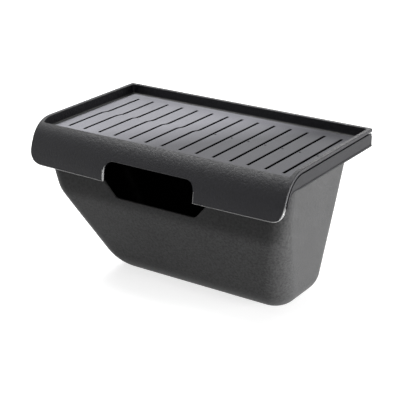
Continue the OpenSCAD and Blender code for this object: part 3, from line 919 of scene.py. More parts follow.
@dataclass
class LidShell:
    """The lid: one skin over rims, tray and apron, with its edges rolled over.

    Attributes:
        shape: Its sizes.
        datum: Moves it into the shared frame.
        hinge: The hinge's sizes.
        rib_x: Places of the ribs under the tray, across the lid.
        rib_y: Front end of the ribs.
        rib_length: Their length.
        rib_w, rib_h: Width of a rib, and how far it stands down.
        end_z: Height at which the upper skin meets the foot at the lid's ends.
        foot_rows: Rows of faces in the foot.
        apron_rows: Rows of faces in the apron above it.
        step: Spacing of the points in the tray's corners.
        dense_y: Place in y in front of which the tray's rows lie closer.
        fillet_highlight, fillet_highlight_from, fillet_highlight_over: Share of the painted
            highlight on the tray's fillet and floor, the depth at which it begins, and the
            depth over which it grows.
        foot_from, foot_over: The same depths for the wider edge at the apron's foot.
        highlight_from, highlight_over: The same for the painted highlight on the rolled edge.
        arm_y, arm_z: How far a knuckle's arm starts in front of the lid's rear edge,
            and its lower side.
    """

    shape: LidShape
    datum: Datum
    hinge: Hinge = Hinge()
    rib_x: tuple[float, ...] = (-125.0, -50.0, 50.0, 125.0)
    rib_y: float = 47.0
    rib_length: float = 72.5
    rib_w: float = 2.2
    rib_h: float = 1.6
    end_z: float = -25.0
    foot_rows: int = 12
    apron_rows: int = 38
    step: float = 1.15
    dense_y: float = 36.0
    fillet_highlight: float = 0.4
    fillet_highlight_from: float = 8.9
    fillet_highlight_over: float = 1.5
    foot_from: float = 6.0
    foot_over: float = 16.0
    highlight_from: float = 26.0
    highlight_over: float = 8.0
    arm_y: float = 3.4
    arm_z: float = -6.2

    def section(self, soft: float, underside: bool) -> tuple[np.ndarray, np.ndarray]:
        """Returns half a section through a rim and the tray's wall, from the edge inwards.

        Args:
            soft: Radius of the rim's inner edge.
            underside: Whether it is the section of the lid's underside.

        Returns:
            Offsets from the edge, and depths below the rim.
        """
        s = self.shape
        out = s.rim_w - s.wall
        if underside:
            offset = np.concatenate([[0, 0.9, 1.6, 2.0], np.full(12, out),
                                     [out + 0.4, s.rim_w + 0.6]])
            wall = np.linspace(s.lip + 0.5, s.under - 2, 10)
            depth = np.concatenate([np.full(5, s.lip), wall, [s.under - 1, s.under, s.under]])
            return offset, depth
        a, c = quarter_turn(3)[1:], quarter_turn(5)[1:]
        offset = np.concatenate([[0, 1.3, 2.4, 3.2, s.rim_w - soft],
                                 s.rim_w - soft * (1 - np.sin(a)), np.full(5, s.rim_w),
                                 s.rim_w + s.fillet * (1 - np.cos(c))])
        depth = np.concatenate([np.zeros(5), soft * (1 - np.cos(a)),
                                [2.4, 4.1, 5.8, 7.4, s.floor - s.fillet],
                                s.floor - s.fillet * (1 - np.sin(c))])
        return offset, depth

    def sheet(self, underside: bool) -> np.ndarray:
        """Returns the rims and the tray, from the rear edge to the crest in front of the tray.

        Across the lid and from the rear to the front runs a section, each with
        a depth below the rim. The smaller of the two depths D holds. With top
        the height of the rims' curve, and a share F that grows from 0 at the
        rim's edge to 1 at the floor, z = (top - D) (1 - F) - floor F.

        Args:
            underside: Whether it is the lid's underside.

        Returns:
            Array of shape (rows, columns, 3).
        """
        s = self.shape
        offset, depth = self.section(s.rim_soft, underside)
        ahead, ahead_depth = self.section(s.crest_soft, underside)
        start, bottom, deep = (s.lip, s.under, s.lip) if underside else (s.rim_soft, s.floor, 0.0)
        wall = s.rim_w + s.fillet
        near = s.half_w - wall - self.step * np.arange(1, 17)
        across = np.concatenate([near, np.linspace(near[-1], -near[-1], 72)[1:-1], -near[::-1]])
        x = np.concatenate([offset - s.half_w, -across, (s.half_w - offset)[::-1]])
        dx = np.concatenate([depth, np.full(len(across), bottom), depth[::-1]])
        rear = s.depth - wall - self.step * np.arange(1, 6)
        back = np.concatenate([rear, np.linspace(rear[-1], self.dense_y, 34)[1:],
                               np.linspace(self.dense_y, s.tray_front + 2, 14)[1:-1]])
        y = np.concatenate([s.depth - offset, back, s.tray_front - s.rim_w + ahead[:3:-1]])
        dy = np.concatenate([depth, np.full(len(back), bottom), ahead_depth[:3:-1]])
        px, py = s.rounded(*np.meshgrid(x, y))
        level = np.minimum(dx[None, :], dy[:, None])
        top = s.apron(px, s.t_for(px, py, 1, deep), deep)[..., 2] + deep
        share = np.clip((level - start) / (bottom - start), 0, 1)
        height = (top - np.minimum(level, start)) * (1 - share) - bottom * share
        return np.stack([px, py, height], axis=-1)

    def skin(self, underside: bool, x_split: np.ndarray, z_split: np.ndarray) -> np.ndarray:
        """Returns the sheet carried on down the apron to the split line.

        With v from 0 to 1 down the apron, the place on the curve goes evenly
        with v, and the place across the lid goes with 3v^2 - 2v^3.

        Args:
            underside: Whether it is the lid's underside.
            x_split: Place across the lid of the split line at each column.
            z_split: Its height.

        Returns:
            Array of shape (rows, columns, 3).
        """
        s = self.shape
        deep = s.lip if underside else 0.0
        sheet = self.sheet(underside)
        x0, y0 = sheet[-1, :, 0], sheet[-1, :, 1]
        v = np.linspace(0, 1, self.apron_rows + 1)[1:, None]
        ease = smooth(v)
        t = s.t_for(x0, y0, 1, deep) * (1 - v) + s.t_for(x_split, z_split, 2) * v
        return np.concatenate([sheet, s.apron(x0 * (1 - ease) + x_split * ease, t, deep)])

    def build(self, material: bpy.types.Material) -> bpy.types.Object:
        """Builds the lid.

        Args:
            material: Its finish.

        Returns:
            The lid's object.
        """
        s = self.shape
        kit = MeshKit()
        x_split, z_split, left, right = self.split_line(self.sheet(False).shape[1])
        lower = [self.foot(x_split, z_split, at, side) for at, side in zip((left, right), Side)]
        places = [(p[..., 0], s.t_for(p[..., 0], p[..., 1], 2)) for p in lower]
        faces, backs = ([self.skin(underside, x_split, z_split)]
                        + [s.apron(x, t, deep) for x, t in places]
                        for underside, deep in ((False, 0.0), (True, s.lip)))
        self.roll_edges(kit, faces, backs, left, right)
        # painted highlight along the tray's fillet and the floor beside the mat
        fillet_lit = smooth((-faces[0][..., 2] - self.fillet_highlight_from) / self.fillet_highlight_over)
        fillet_lit = (faces[0][..., 1] > s.tray_front) * fillet_lit
        kit.add_grid(faces[0], mark=self.fillet_highlight * fillet_lit)
        for patch in faces[1:] + backs:
            kit.add_grid(patch)
        for side in Side:
            self.knuckle(kit, side)
        for x in self.rib_x:
            self.rib(kit, x)
        piece = kit.build("lid_skin", self.datum, material, "lid", "lid_plastic")
        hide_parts("lid_shell")
        return piece

    def split_line(self, cols: int) -> tuple[np.ndarray, np.ndarray, int, int]:
        """Returns where each column crosses the line from the lid's ends to the slot.

        Args:
            cols: Number of columns.

        Returns:
            x and z at each column, and the columns at the slot's two sides.
        """
        s = self.shape
        side_z = s.slot_top - s.slot_r
        arc = s.slot_r * QUARTER
        lengths = np.array([s.slot_left + s.half_w, arc, s.slot_right - s.slot_left - 2 * s.slot_r,
                            arc, s.half_w - s.slot_right])
        weights = lengths * np.array([1.0, 1.5, 1.0, 1.5, 1.0])
        counts = np.round(np.cumsum(weights) / weights.sum() * (cols - 1)).astype(int)
        counts = np.concatenate([[0], counts])
        u = [np.linspace(0, 1, last - first + 1) for first, last in zip(counts[:-1], counts[1:])]
        rise = [s.slot_r * np.sin(part * QUARTER) for part in u]
        run = [s.slot_r * np.cos(part * QUARTER) for part in u]
        x = [lengths[0] * u[0] - s.half_w, s.slot_left + s.slot_r - run[1],
             s.slot_left + s.slot_r + lengths[2] * u[2], s.slot_right - s.slot_r + rise[3],
             s.slot_right + lengths[4] * u[4]]
        z = [self.end_z + (side_z - self.end_z) * u[0], side_z + rise[1],
             np.full(len(u[2]), s.slot_top), side_z + run[3],
             side_z + (self.end_z - side_z) * u[4]]
        x, z = (np.concatenate([part[:-1] for part in line] + [line[4][-1:]]) for line in (x, z))
        return x, z, int(counts[1]), int(counts[4])

    def foot(self, x_split: np.ndarray, z_split: np.ndarray, at: int, side: Side) -> np.ndarray:
        """Returns points of the apron beside the slot, down to its rounded corner.

        A Coons patch: the sum of the two blends between opposite edges, less
        the blend of the four corners.

        Args:
            x_split: Place across the lid of the split line at each column.
            z_split: Its height.
            at: The column at the slot's side.
            side: Which side of the slot.

        Returns:
            Array of shape (rows, columns, 2) of (x, z).
        """
        s = self.shape
        top = np.stack([x_split, z_split], 1)
        top = top[: at + 1][::-1] if side is Side.LEFT else top[at:]
        turn = quarter_turn(12)
        arc = np.stack([side.value * (s.half_w - s.corner_r + s.corner_r * np.cos(turn)),
                        -s.drop + s.corner_r - s.corner_r * np.sin(turn)], 1)
        end = along_line(np.concatenate([top[-1:], arc[:7]]), self.foot_rows + 1)
        slot_x = s.slot_left if side is Side.LEFT else s.slot_right
        inner = np.linspace((slot_x, top[0][1]), (slot_x, -s.drop), self.foot_rows + 1)
        foot = along_line(np.concatenate([[[slot_x, -s.drop]], arc[6:][::-1]]), len(top))
        u = np.linspace(0, 1, len(top))[None, :, None]
        w = np.linspace(0, 1, self.foot_rows + 1)[:, None, None]
        blend = (1 - w) * top[None] + w * foot[None] + (1 - u) * inner[:, None] + u * end[:, None]
        blend -= (1 - w) * (1 - u) * top[0] + (1 - w) * u * top[-1]
        return blend - w * (1 - u) * foot[0] - w * u * foot[-1]

    def border(self, left: int, right: int) -> list[tuple[int, tuple]]:
        """Returns the ten runs of a skin's border, from the rear left round the front.

        Args:
            left: The column at the slot's left side.
            right: The column at its right side.

        Returns:
            For each run, the number of its patch and its place in the patch. The
            patches are the upper skin and the feet on the left and on the right.
        """
        ahead, back = slice(None, -1), slice(None, 0, -1)
        return [(0, (ahead, 0)), (1, (ahead, -1)), (1, (-1, back)), (1, (back, 0)),
                (0, (-1, slice(left, right))), (2, (ahead, 0)), (2, (-1, ahead)), (2, (back, -1)),
                (0, (back, -1)), (0, (0, back))]

    def draw_border(self, patches: list[np.ndarray], ring: np.ndarray, left: int,
                    right: int) -> None:
        """Moves a skin's border onto a ring of as many points.

        Args:
            patches: The skin's three patches, changed in place.
            ring: Array of shape (n, 3).
            left: The column at the slot's left side.
            right: The column at its right side.
        """
        runs = self.border(left, right)
        starts = np.cumsum([len(patches[k][place]) for k, place in runs])[:-1]
        for (k, place), part in zip(runs, np.split(ring, starts)):
            patches[k][place] = part
        upper, near, far = patches
        upper[-1, 0], upper[-1, right] = near[0, -1], far[0, 0]
        near[0, 0], far[0, -1] = upper[-1, left], upper[-1, -1]

    def roll_edges(self, kit: MeshKit, faces: list[np.ndarray], backs: list[np.ndarray], left: int,
                   right: int) -> None:
        """Adds the rolled edge between the face and the back, and draws both in to it.

        With n the unit vector from back to face, and m the outward unit vector
        square to it and to the border, the roll is
        P - r m + r (sin a m - (1 - cos a) n) for a from 0 to 90 degrees.

        Args:
            kit: Where it goes.
            faces: The face's three patches, changed in place.
            backs: The back's three patches, changed in place.
            left: The column at the slot's left side.
            right: The column at its right side.
        """
        s = self.shape
        loop, loop_b = (np.concatenate([patches[k][place] for k, place in self.border(left, right)])
                        for patches in (faces, backs))
        fresh = np.linalg.norm(loop - np.roll(loop, 1, axis=0), axis=1) > 1e-6
        single = loop[fresh]
        tangent = (np.roll(single, -1, axis=0) - np.roll(single, 1, axis=0))[np.cumsum(fresh) - 1]
        n, m = unit(loop - loop_b), unit(np.cross(loop - loop_b, tangent))
        m *= np.sign(m[loop[:, 1] > s.depth - 0.01, 1].mean())
        down = smooth((-loop[:, 2:] - self.foot_from) / self.foot_over)
        out_r = s.edge + (s.edge_foot - s.edge) * down
        in_r = s.edge_in + (s.edge_in_foot - s.edge_in) * down
        a, b = quarter_turn(6, 3), quarter_turn(4, 3)
        over = loop - out_r * m + out_r * (np.sin(a) * m - (1 - np.cos(a)) * n)
        under = loop_b + in_r * ((1 - np.sin(b)) * n - (1 - np.cos(b)) * m)
        over[..., 2] = np.minimum(over[..., 2], 0)
        # painted highlight on the outer part of the rolled edge, low on the apron and round its
        # foot
        painted_highlight = smooth((-loop[:, 2] - self.highlight_from) / self.highlight_over)
        painted_light = smooth(np.sin(a[:, :, 0]) * 2.0) * painted_highlight
        painted_light = np.concatenate([painted_light, np.zeros((len(b), len(loop)))])
        kit.add_grid(np.concatenate([over, under]), around=True, mark=painted_light)
        self.draw_border(faces, over[0], left, right)
        self.draw_border(backs, under[-1], left, right)

    def knuckle(self, kit: MeshKit, side: Side) -> None:
        """Adds one hinge knuckle and its arm.

        Args:
            kit: Where they go.
            side: Which side of the lid.
        """
        s, h = self.shape, self.hinge
        x0 = side.value * h.x - h.lid_w / 2
        h.add_knuckle(kit, x0, x0 + h.lid_w, s.depth)
        loop = rounded_loop(s.depth - self.arm_y, self.arm_z, s.depth + h.back, -s.lip - 0.02,
                            0.4, 3)
        kit.add_prism(lift(loop, 0, x0 + 0.2), np.array([h.lid_w - 0.4, 0, 0]), 0.3, 2)

    def rib(self, kit: MeshKit, x: float) -> None:
        """Adds one stiffening rib under the tray.

        Args:
            kit: Where it goes.
            x: Its place across the lid.
        """
        under, half = -self.shape.under, self.rib_w / 2
        loop = rounded_loop(x - half, under - self.rib_h, x + half, under + 1.0, 0.5, 3)
        kit.add_prism(lift(loop, 1, self.rib_y), np.array([0, self.rib_length, 0]), 0.4, 2)


# --------------------------------------------------------------------------
# The mat
# --------------------------------------------------------------------------


@dataclass
class TrayMat:
    """The ribbed mat: a plate whose face dips into fourteen narrow grooves.

    Attributes:
        shape: The lid's sizes.
        datum: Moves it into the shared frame.
        count, pitch, width: Number of grooves, their spacing and their width.
        front, length: Place in y of the grooves' front ends, and their length.
        jog: Sideways step at the middle of the grooves in the left half.
        half_x, y0, y1: Half the mat's width, and its front and rear.
        soft, deep: Rounding of a groove's edges, and its depth.
    """

    shape: LidShape
    datum: Datum
    count: int = 14
    pitch: float = 19.5
    width: float = 3.0
    front: float = 38.8
    length: float = 117.8
    jog: float = 3.2
    half_x: float = 141.7
    y0: float = 22.4
    y1: float = 169.3
    soft: float = 0.25
    deep: float = 0.82

    def centre(self, i: int, y: np.ndarray) -> np.ndarray:
        """Returns a groove's middle line: in the left half it steps sideways at its middle.

        Args:
            i: Which groove, from the left.
            y: Places along the groove.

        Returns:
            x at each place.
        """
        x = (i - (self.count - 1) / 2) * self.pitch
        if i >= self.count / 2:
            return np.full_like(y, x)
        middle = self.front + self.length / 2
        share = np.clip((y - middle + self.width) / (2 * self.width), 0, 1)
        return x - self.jog / 2 + self.jog * share

    def rows(self) -> tuple[np.ndarray, np.ndarray]:
        """Returns the places in y of the rows of points, and how deep a groove is there."""
        a, soft, deep = quarter_turn(3), self.soft, self.deep
        first, last = self.front, self.front + self.length
        middle = self.front + self.length / 2
        plain = np.concatenate([np.linspace(first + 2, middle - 2.2, 22),
                                np.linspace(middle - 1.6, middle + 1.6, 9),
                                np.linspace(middle + 2.2, last - 2, 22)])
        y = np.concatenate([[self.y0, first - 1.2], first - soft + soft * np.sin(a),
                            [first + 0.05, first + 0.3], plain, [last - 0.3, last - 0.05],
                            last + soft - soft * np.sin(a[::-1]), [last + 1.5, last + 6, self.y1]])
        z = np.concatenate([[0, 0], -soft * (1 - np.cos(a)), [-deep + 0.1, -deep],
                            np.full(len(plain), -deep), [-deep, -deep + 0.1],
                            -soft * (1 - np.cos(a[::-1])), [0, 0, 0]])
        return y, z

    def columns(self, y: np.ndarray) -> tuple[np.ndarray, np.ndarray]:
        """Returns the columns of points: a groove's section each, and a column between grooves.

        Args:
            y: Places of the rows.

        Returns:
            x of shape (rows, columns), and how deep the section is at each column.
        """
        a, half = quarter_turn(3), self.width / 2
        lip = np.concatenate([-half - self.soft + self.soft * np.sin(a), [-half, -half + 0.25]])
        lip_z = np.concatenate([-self.soft * (1 - np.cos(a)), [-self.deep + 0.1, -self.deep]])
        section, section_z = np.concatenate([lip, -lip[::-1]]), np.concatenate([lip_z, lip_z[::-1]])
        lines = np.stack([self.centre(i, y) for i in range(self.count)])
        cuts = lines[:, None] + section[None, :, None]
        sides = np.full((1, len(y)), -self.half_x), np.full((1, len(y)), self.half_x)
        before = np.concatenate([sides[0], cuts[:-1, -1]])
        between = before * 0.5 + (lines - half - self.soft) * 0.5
        groups = np.concatenate([between[:, None], cuts], axis=1).reshape(-1, len(y))
        x = np.concatenate([sides[0], groups, (groups[-1:] + sides[1]) / 2, sides[1]])
        depths = np.tile(np.concatenate([[0.0], section_z]), self.count)
        z = np.concatenate([[0.0], depths, [0.0, 0.0]])
        return x.T, z

    def build(self, material: bpy.types.Material) -> bpy.types.Object:
        """Builds the mat; its mark is 1 at the bottom of the grooves, where shade is painted.

        Args:
            material: Its finish.

        Returns:
            The mat's object.
        """
        s = self.shape
        kit = MeshKit()
        y, zy = self.rows()
        gx, zx = self.columns(y)
        gz = np.maximum(zx[None, :], zy[:, None])
        mark = np.clip(-gz / self.deep, 0, 1) ** 0.7
        top = np.stack([gx, np.broadcast_to(y[:, None], gx.shape), gz - s.mat_top], -1)
        kit.add_grid(top, mark=mark)
        edge = np.concatenate([top[:-1, 0], top[-1, :-1], top[::-1, -1][:-1], top[0, ::-1][:-1]])
        low = edge * (1, 1, 0) - (0, 0, s.floor)
        kit.add_grid(np.stack([edge, low]), around=True)
        kit.add_cap(low)
        piece = kit.build("ribbed_mat", self.datum, material, "lid", "mat_rubber")
        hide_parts("tray_mat")
        return piece


# --------------------------------------------------------------------------
# The tub
# --------------------------------------------------------------------------


@dataclass
class TubShape:
    """The tub's sections: left, right, front and rear wall, and corner radius, by depth.

    Attributes:
        rim, knee, height: Depths of the top edge, the bend and the base.
        wall, base_r: Thickness of the walls, and radius round into the base.
        top, bend, foot: The five measures at those three depths.
        soft_bend: How softly the walls bend.
        notch_x, notch_half, notch_drop: Middle, half width and depth of the front's notch.
        notch_lean, notch_r: How much the notch's sides lean, and its corner radius.
        corner, front, side: Steps in a corner, along the front and along a side.
    """

    rim: float = 18.2
    knee: float = 74.4
    height: float = 164.8
    wall: float = 2.5
    base_r: float = 23.0
    top: tuple[float, ...] = (-146.4, 146.4, 12.6, 136.6, 14.3)
    bend: tuple[float, ...] = (-136.3, 140.0, 17.5, 132.0, 18.98)
    foot: tuple[float, ...] = (-85.0, 125.3, 50.6, 132.6, 26.0)
    soft_bend: float = 4.0
    notch_x: float = -5.0
    notch_half: float = 48.2
    notch_drop: float = 66.8
    notch_lean: float = 0.85
    notch_r: float = 8.0
    corner: int = 14
    front: int = 120
    side: int = 22

    def section(self, depth: np.ndarray) -> np.ndarray:
        """Returns the five measures at a depth, with the bend softened.

        Below the bend each measure changes at another rate: the change of rate
        times h, where h = (e + sqrt(e^2 + b^2)) / 2 for e the depth past the bend.

        Args:
            depth: Array of depths below the rims' top.

        Returns:
            Array of its shape with an axis of five more.
        """
        top, bend, foot = (np.array(v) for v in (self.top, self.bend, self.foot))
        first = (bend - top) / (self.knee - self.rim)
        second = (foot - bend) / (self.height - self.knee)
        past = depth - self.knee
        h = (past + np.sqrt(past ** 2 + self.soft_bend ** 2)) / 2
        return bend + first * past[..., None] + (second - first) * h[..., None]

    def places(self) -> tuple[np.ndarray, np.ndarray]:
        """Returns each point's quarter turn round a ring, and its share along a straight side.

        The share is -1 on a corner. The ring runs anticlockwise from the right
        rear: corner, rear, corner, left side, corner, front, corner, right side.

        Returns:
            Two arrays, each of one value for a point.
        """
        q, u = [], []
        for k, steps in enumerate((self.front, self.side, self.front, self.side)):
            q += [k + np.linspace(0, 1, self.corner + 1) * 0.999999, np.full(steps - 1, k + 0.0)]
            u += [np.full(self.corner + 1, -1.0), np.linspace(0, 1, steps + 1)[1:-1]]
        return np.concatenate(q), np.concatenate(u)

    def ring(self, depth: np.ndarray, inset: np.ndarray) -> np.ndarray:
        """Returns rounded-rectangle rings, one for each depth, drawn in by an inset.

        Args:
            depth: Array of shape (k,) or (k, n) of depths for each point.
            inset: Array of the same shape.

        Returns:
            Array of shape (k, n, 3).
        """
        q, u = self.places()
        depth, inset = (np.broadcast_to(a[:, None] if a.ndim == 1 else a, (len(a), len(q)))
                        for a in (depth, inset))
        m = self.section(depth)
        r = np.maximum(m[..., 4] - inset, 0.5)
        x0, x1 = m[..., 0] + inset + r, m[..., 1] - inset - r
        y0, y1 = m[..., 2] + inset + r, m[..., 3] - inset - r
        xs, ys = np.stack([x1, x0, x0, x1]), np.stack([y1, y1, y0, y0])
        k = q.astype(int)
        turn, end = (k + (q - k)) * math.pi / 2, (k + 1) * math.pi / 2
        pick = np.arange(len(q))
        cx, cy = xs[k, :, pick].T, ys[k, :, pick].T
        nx, ny = xs[(k + 1) % 4, :, pick].T, ys[(k + 1) % 4, :, pick].T
        x = np.where(u >= 0, (cx * (1 - u) + nx * u) + r * np.cos(end), cx + r * np.cos(turn))
        y = np.where(u >= 0, (cy * (1 - u) + ny * u) + r * np.sin(end), cy + r * np.sin(turn))
        return np.stack([x, y, -depth], -1)

    def notch(self, x: np.ndarray) -> np.ndarray:
        """Returns the depth of the notch's outline at x, or a small depth outside it.

        Three lines meet in it: the lower edge and two leaning sides, joined by
        arcs of notch_r.

        Args:
            x: Array of places across the tub.

        Returns:
            Array of its shape.
        """
        away = np.abs(x - self.notch_x)
        side = self.notch_drop - (away - self.notch_half) / self.notch_lean
        sharp = np.minimum(self.notch_drop, side)
        angle = math.atan(1 / self.notch_lean)
        tangent = self.notch_r * math.tan(angle / 2)
        start, stop = self.notch_half - tangent, self.notch_half + tangent * math.cos(angle)
        rise = np.sqrt(np.maximum(self.notch_r ** 2 - (away - start) ** 2, 0))
        arc = self.notch_drop - self.notch_r + rise
        return np.where((away > start) & (away < stop), arc, sharp)


@dataclass
class Tub:
    """The tub: an outer and an inner skin, a rolled top edge, a flange and bosses.

    Attributes:
        shape: Its sizes.
        datum: Moves it into the shared frame.
        edge: Radius of the top edge.
        flange_half, flange_reach, flange_t: Half the flange's width, how far it
            reaches behind the tub, and its thickness.
        bosses: Place of each screw boss, across and back.
        boss_r, boss_h: Radius of a boss, and its height.
    """

    shape: TubShape
    datum: Datum
    edge: float = 0.7
    flange_half: float = 125.0
    flange_reach: float = 24.0
    flange_t: float = 2.5
    bosses: tuple[tuple[float, float], ...] = ((-100, 150.6), (0, 150.6), (100, 150.6),
                                               (-141.5, 29.8), (141.5, 29.8))
    boss_r: float = 3.6
    boss_h: float = 11.9

    def top_depth(self, inset: float) -> np.ndarray:
        """Returns the depth of the top edge at each point round the tub.

        It is the rim's depth, but lower where the notch is. It is found by
        trying the outline at the last depth.

        Args:
            inset: How far the skin stands in from the outside.

        Returns:
            Array of one depth for a point.
        """
        s = self.shape
        depth = np.full((1, len(s.places()[0])), s.rim)
        for _ in range(25):
            p = s.ring(depth, np.full_like(depth, inset))[0]
            want = np.where(p[:, 1] < s.top[2] + 12, np.maximum(s.rim, s.notch(p[:, 0])), s.rim)
            depth = depth * 0.4 + want[None] * 0.6
        return depth[0]

    def skin(self, inset: float, rows: int = 34) -> np.ndarray:
        """Returns a skin from the top edge down and round into the base.

        Args:
            inset: How far the skin stands in from the outside.
            rows: Rows of points down the walls.

        Returns:
            Array of shape (rows, points, 3).
        """
        s = self.shape
        top = self.top_depth(inset)
        v = np.linspace(0, 1, rows)[:, None]
        edge = s.height - s.base_r
        wall = s.ring(top[None] * (1 - v) + edge * v, np.full((rows, len(top)), inset))
        a = quarter_turn(14, 2)[1:]
        r, turned = s.base_r - inset, np.zeros((14, len(top)))
        return np.concatenate([wall, s.ring(edge + r * np.sin(a) + turned,
                                            inset + r * (1 - np.cos(a)) + turned)])

    def build(self, material: bpy.types.Material) -> bpy.types.Object:
        """Builds the tub.

        Args:
            material: Its finish.

        Returns:
            The tub's object.
        """
        kit = MeshKit()
        outer, inner = self.skin(0.0), self.skin(self.shape.wall)
        rolled = self.roll_top(outer, inner)
        kit.add_grid(outer, around=True, flip=True)
        kit.add_grid(inner, around=True)
        kit.add_grid(rolled, around=True)
        self.close_base(kit, outer[-1], False)
        self.close_base(kit, inner[-1], True)
        self.flange(kit)
        piece = kit.build("tub_shell", self.datum, material, "bin", "tub_plastic")
        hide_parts("tub")
        return piece

    def roll_top(self, outer: np.ndarray, inner: np.ndarray) -> np.ndarray:
        """Returns the rolled top edge, and draws both skins down to it.

        From each skin's top P, with d the unit vector down the wall and c the one
        across it, a quarter circle: P + r d (1 - sin a) + r c (1 - cos a).

        Args:
            outer: The outer skin, changed in place.
            inner: The inner skin, changed in place.

        Returns:
            Array of shape (8, points, 3).
        """
        out, into = outer[0].copy(), inner[0].copy()
        down_o, down_i, across = unit(outer[1] - out), unit(inner[1] - into), unit(into - out)
        r, a = self.edge, quarter_turn(3, 3)
        first = out + r * down_o * (1 - np.sin(a)) + r * across * (1 - np.cos(a))
        second = into + r * down_i * (1 - np.cos(a)) - r * across * (1 - np.sin(a))
        outer[0], inner[0] = first[0], second[-1]
        return np.concatenate([first, second])

    def close_base(self, kit: MeshKit, loop: np.ndarray, flip: bool) -> None:
        """Closes the base with rings drawn in to its middle.

        Args:
            kit: Where the faces go.
            loop: The last ring of a skin.
            flip: Whether the faces look up.
        """
        centre = (loop.min(axis=0) + loop.max(axis=0)) / 2
        rings = np.stack([loop + (centre - loop) * f for f in (0.0, 0.3, 0.6, 0.85)])
        kit.add_grid(rings, around=True, flip=flip)
        kit.add_cap(rings[-1], flip=flip)

    def flange(self, kit: MeshKit) -> None:
        """Adds the rear flange and the five screw bosses.

        Args:
            kit: Where they go.
        """
        s = self.shape
        loop = rounded_loop(-self.flange_half, s.top[3] - s.wall + 0.1, self.flange_half,
                            s.top[3] + self.flange_reach, 6, 6)
        kit.add_prism(lift(loop, 2, -s.rim - self.flange_t), np.array([0, 0, self.flange_t]), 0.4)
        turn = np.linspace(0, 2 * math.pi, 32, endpoint=False)
        circle = self.boss_r * np.stack([np.cos(turn), np.sin(turn)], 1)
        for place in self.bosses:
            kit.add_prism(lift(np.array(place) + circle, 2, -s.rim - self.boss_h - 0.1),
                          np.array([0, 0, self.boss_h]), 0.4)


# --------------------------------------------------------------------------
# The frame
# --------------------------------------------------------------------------


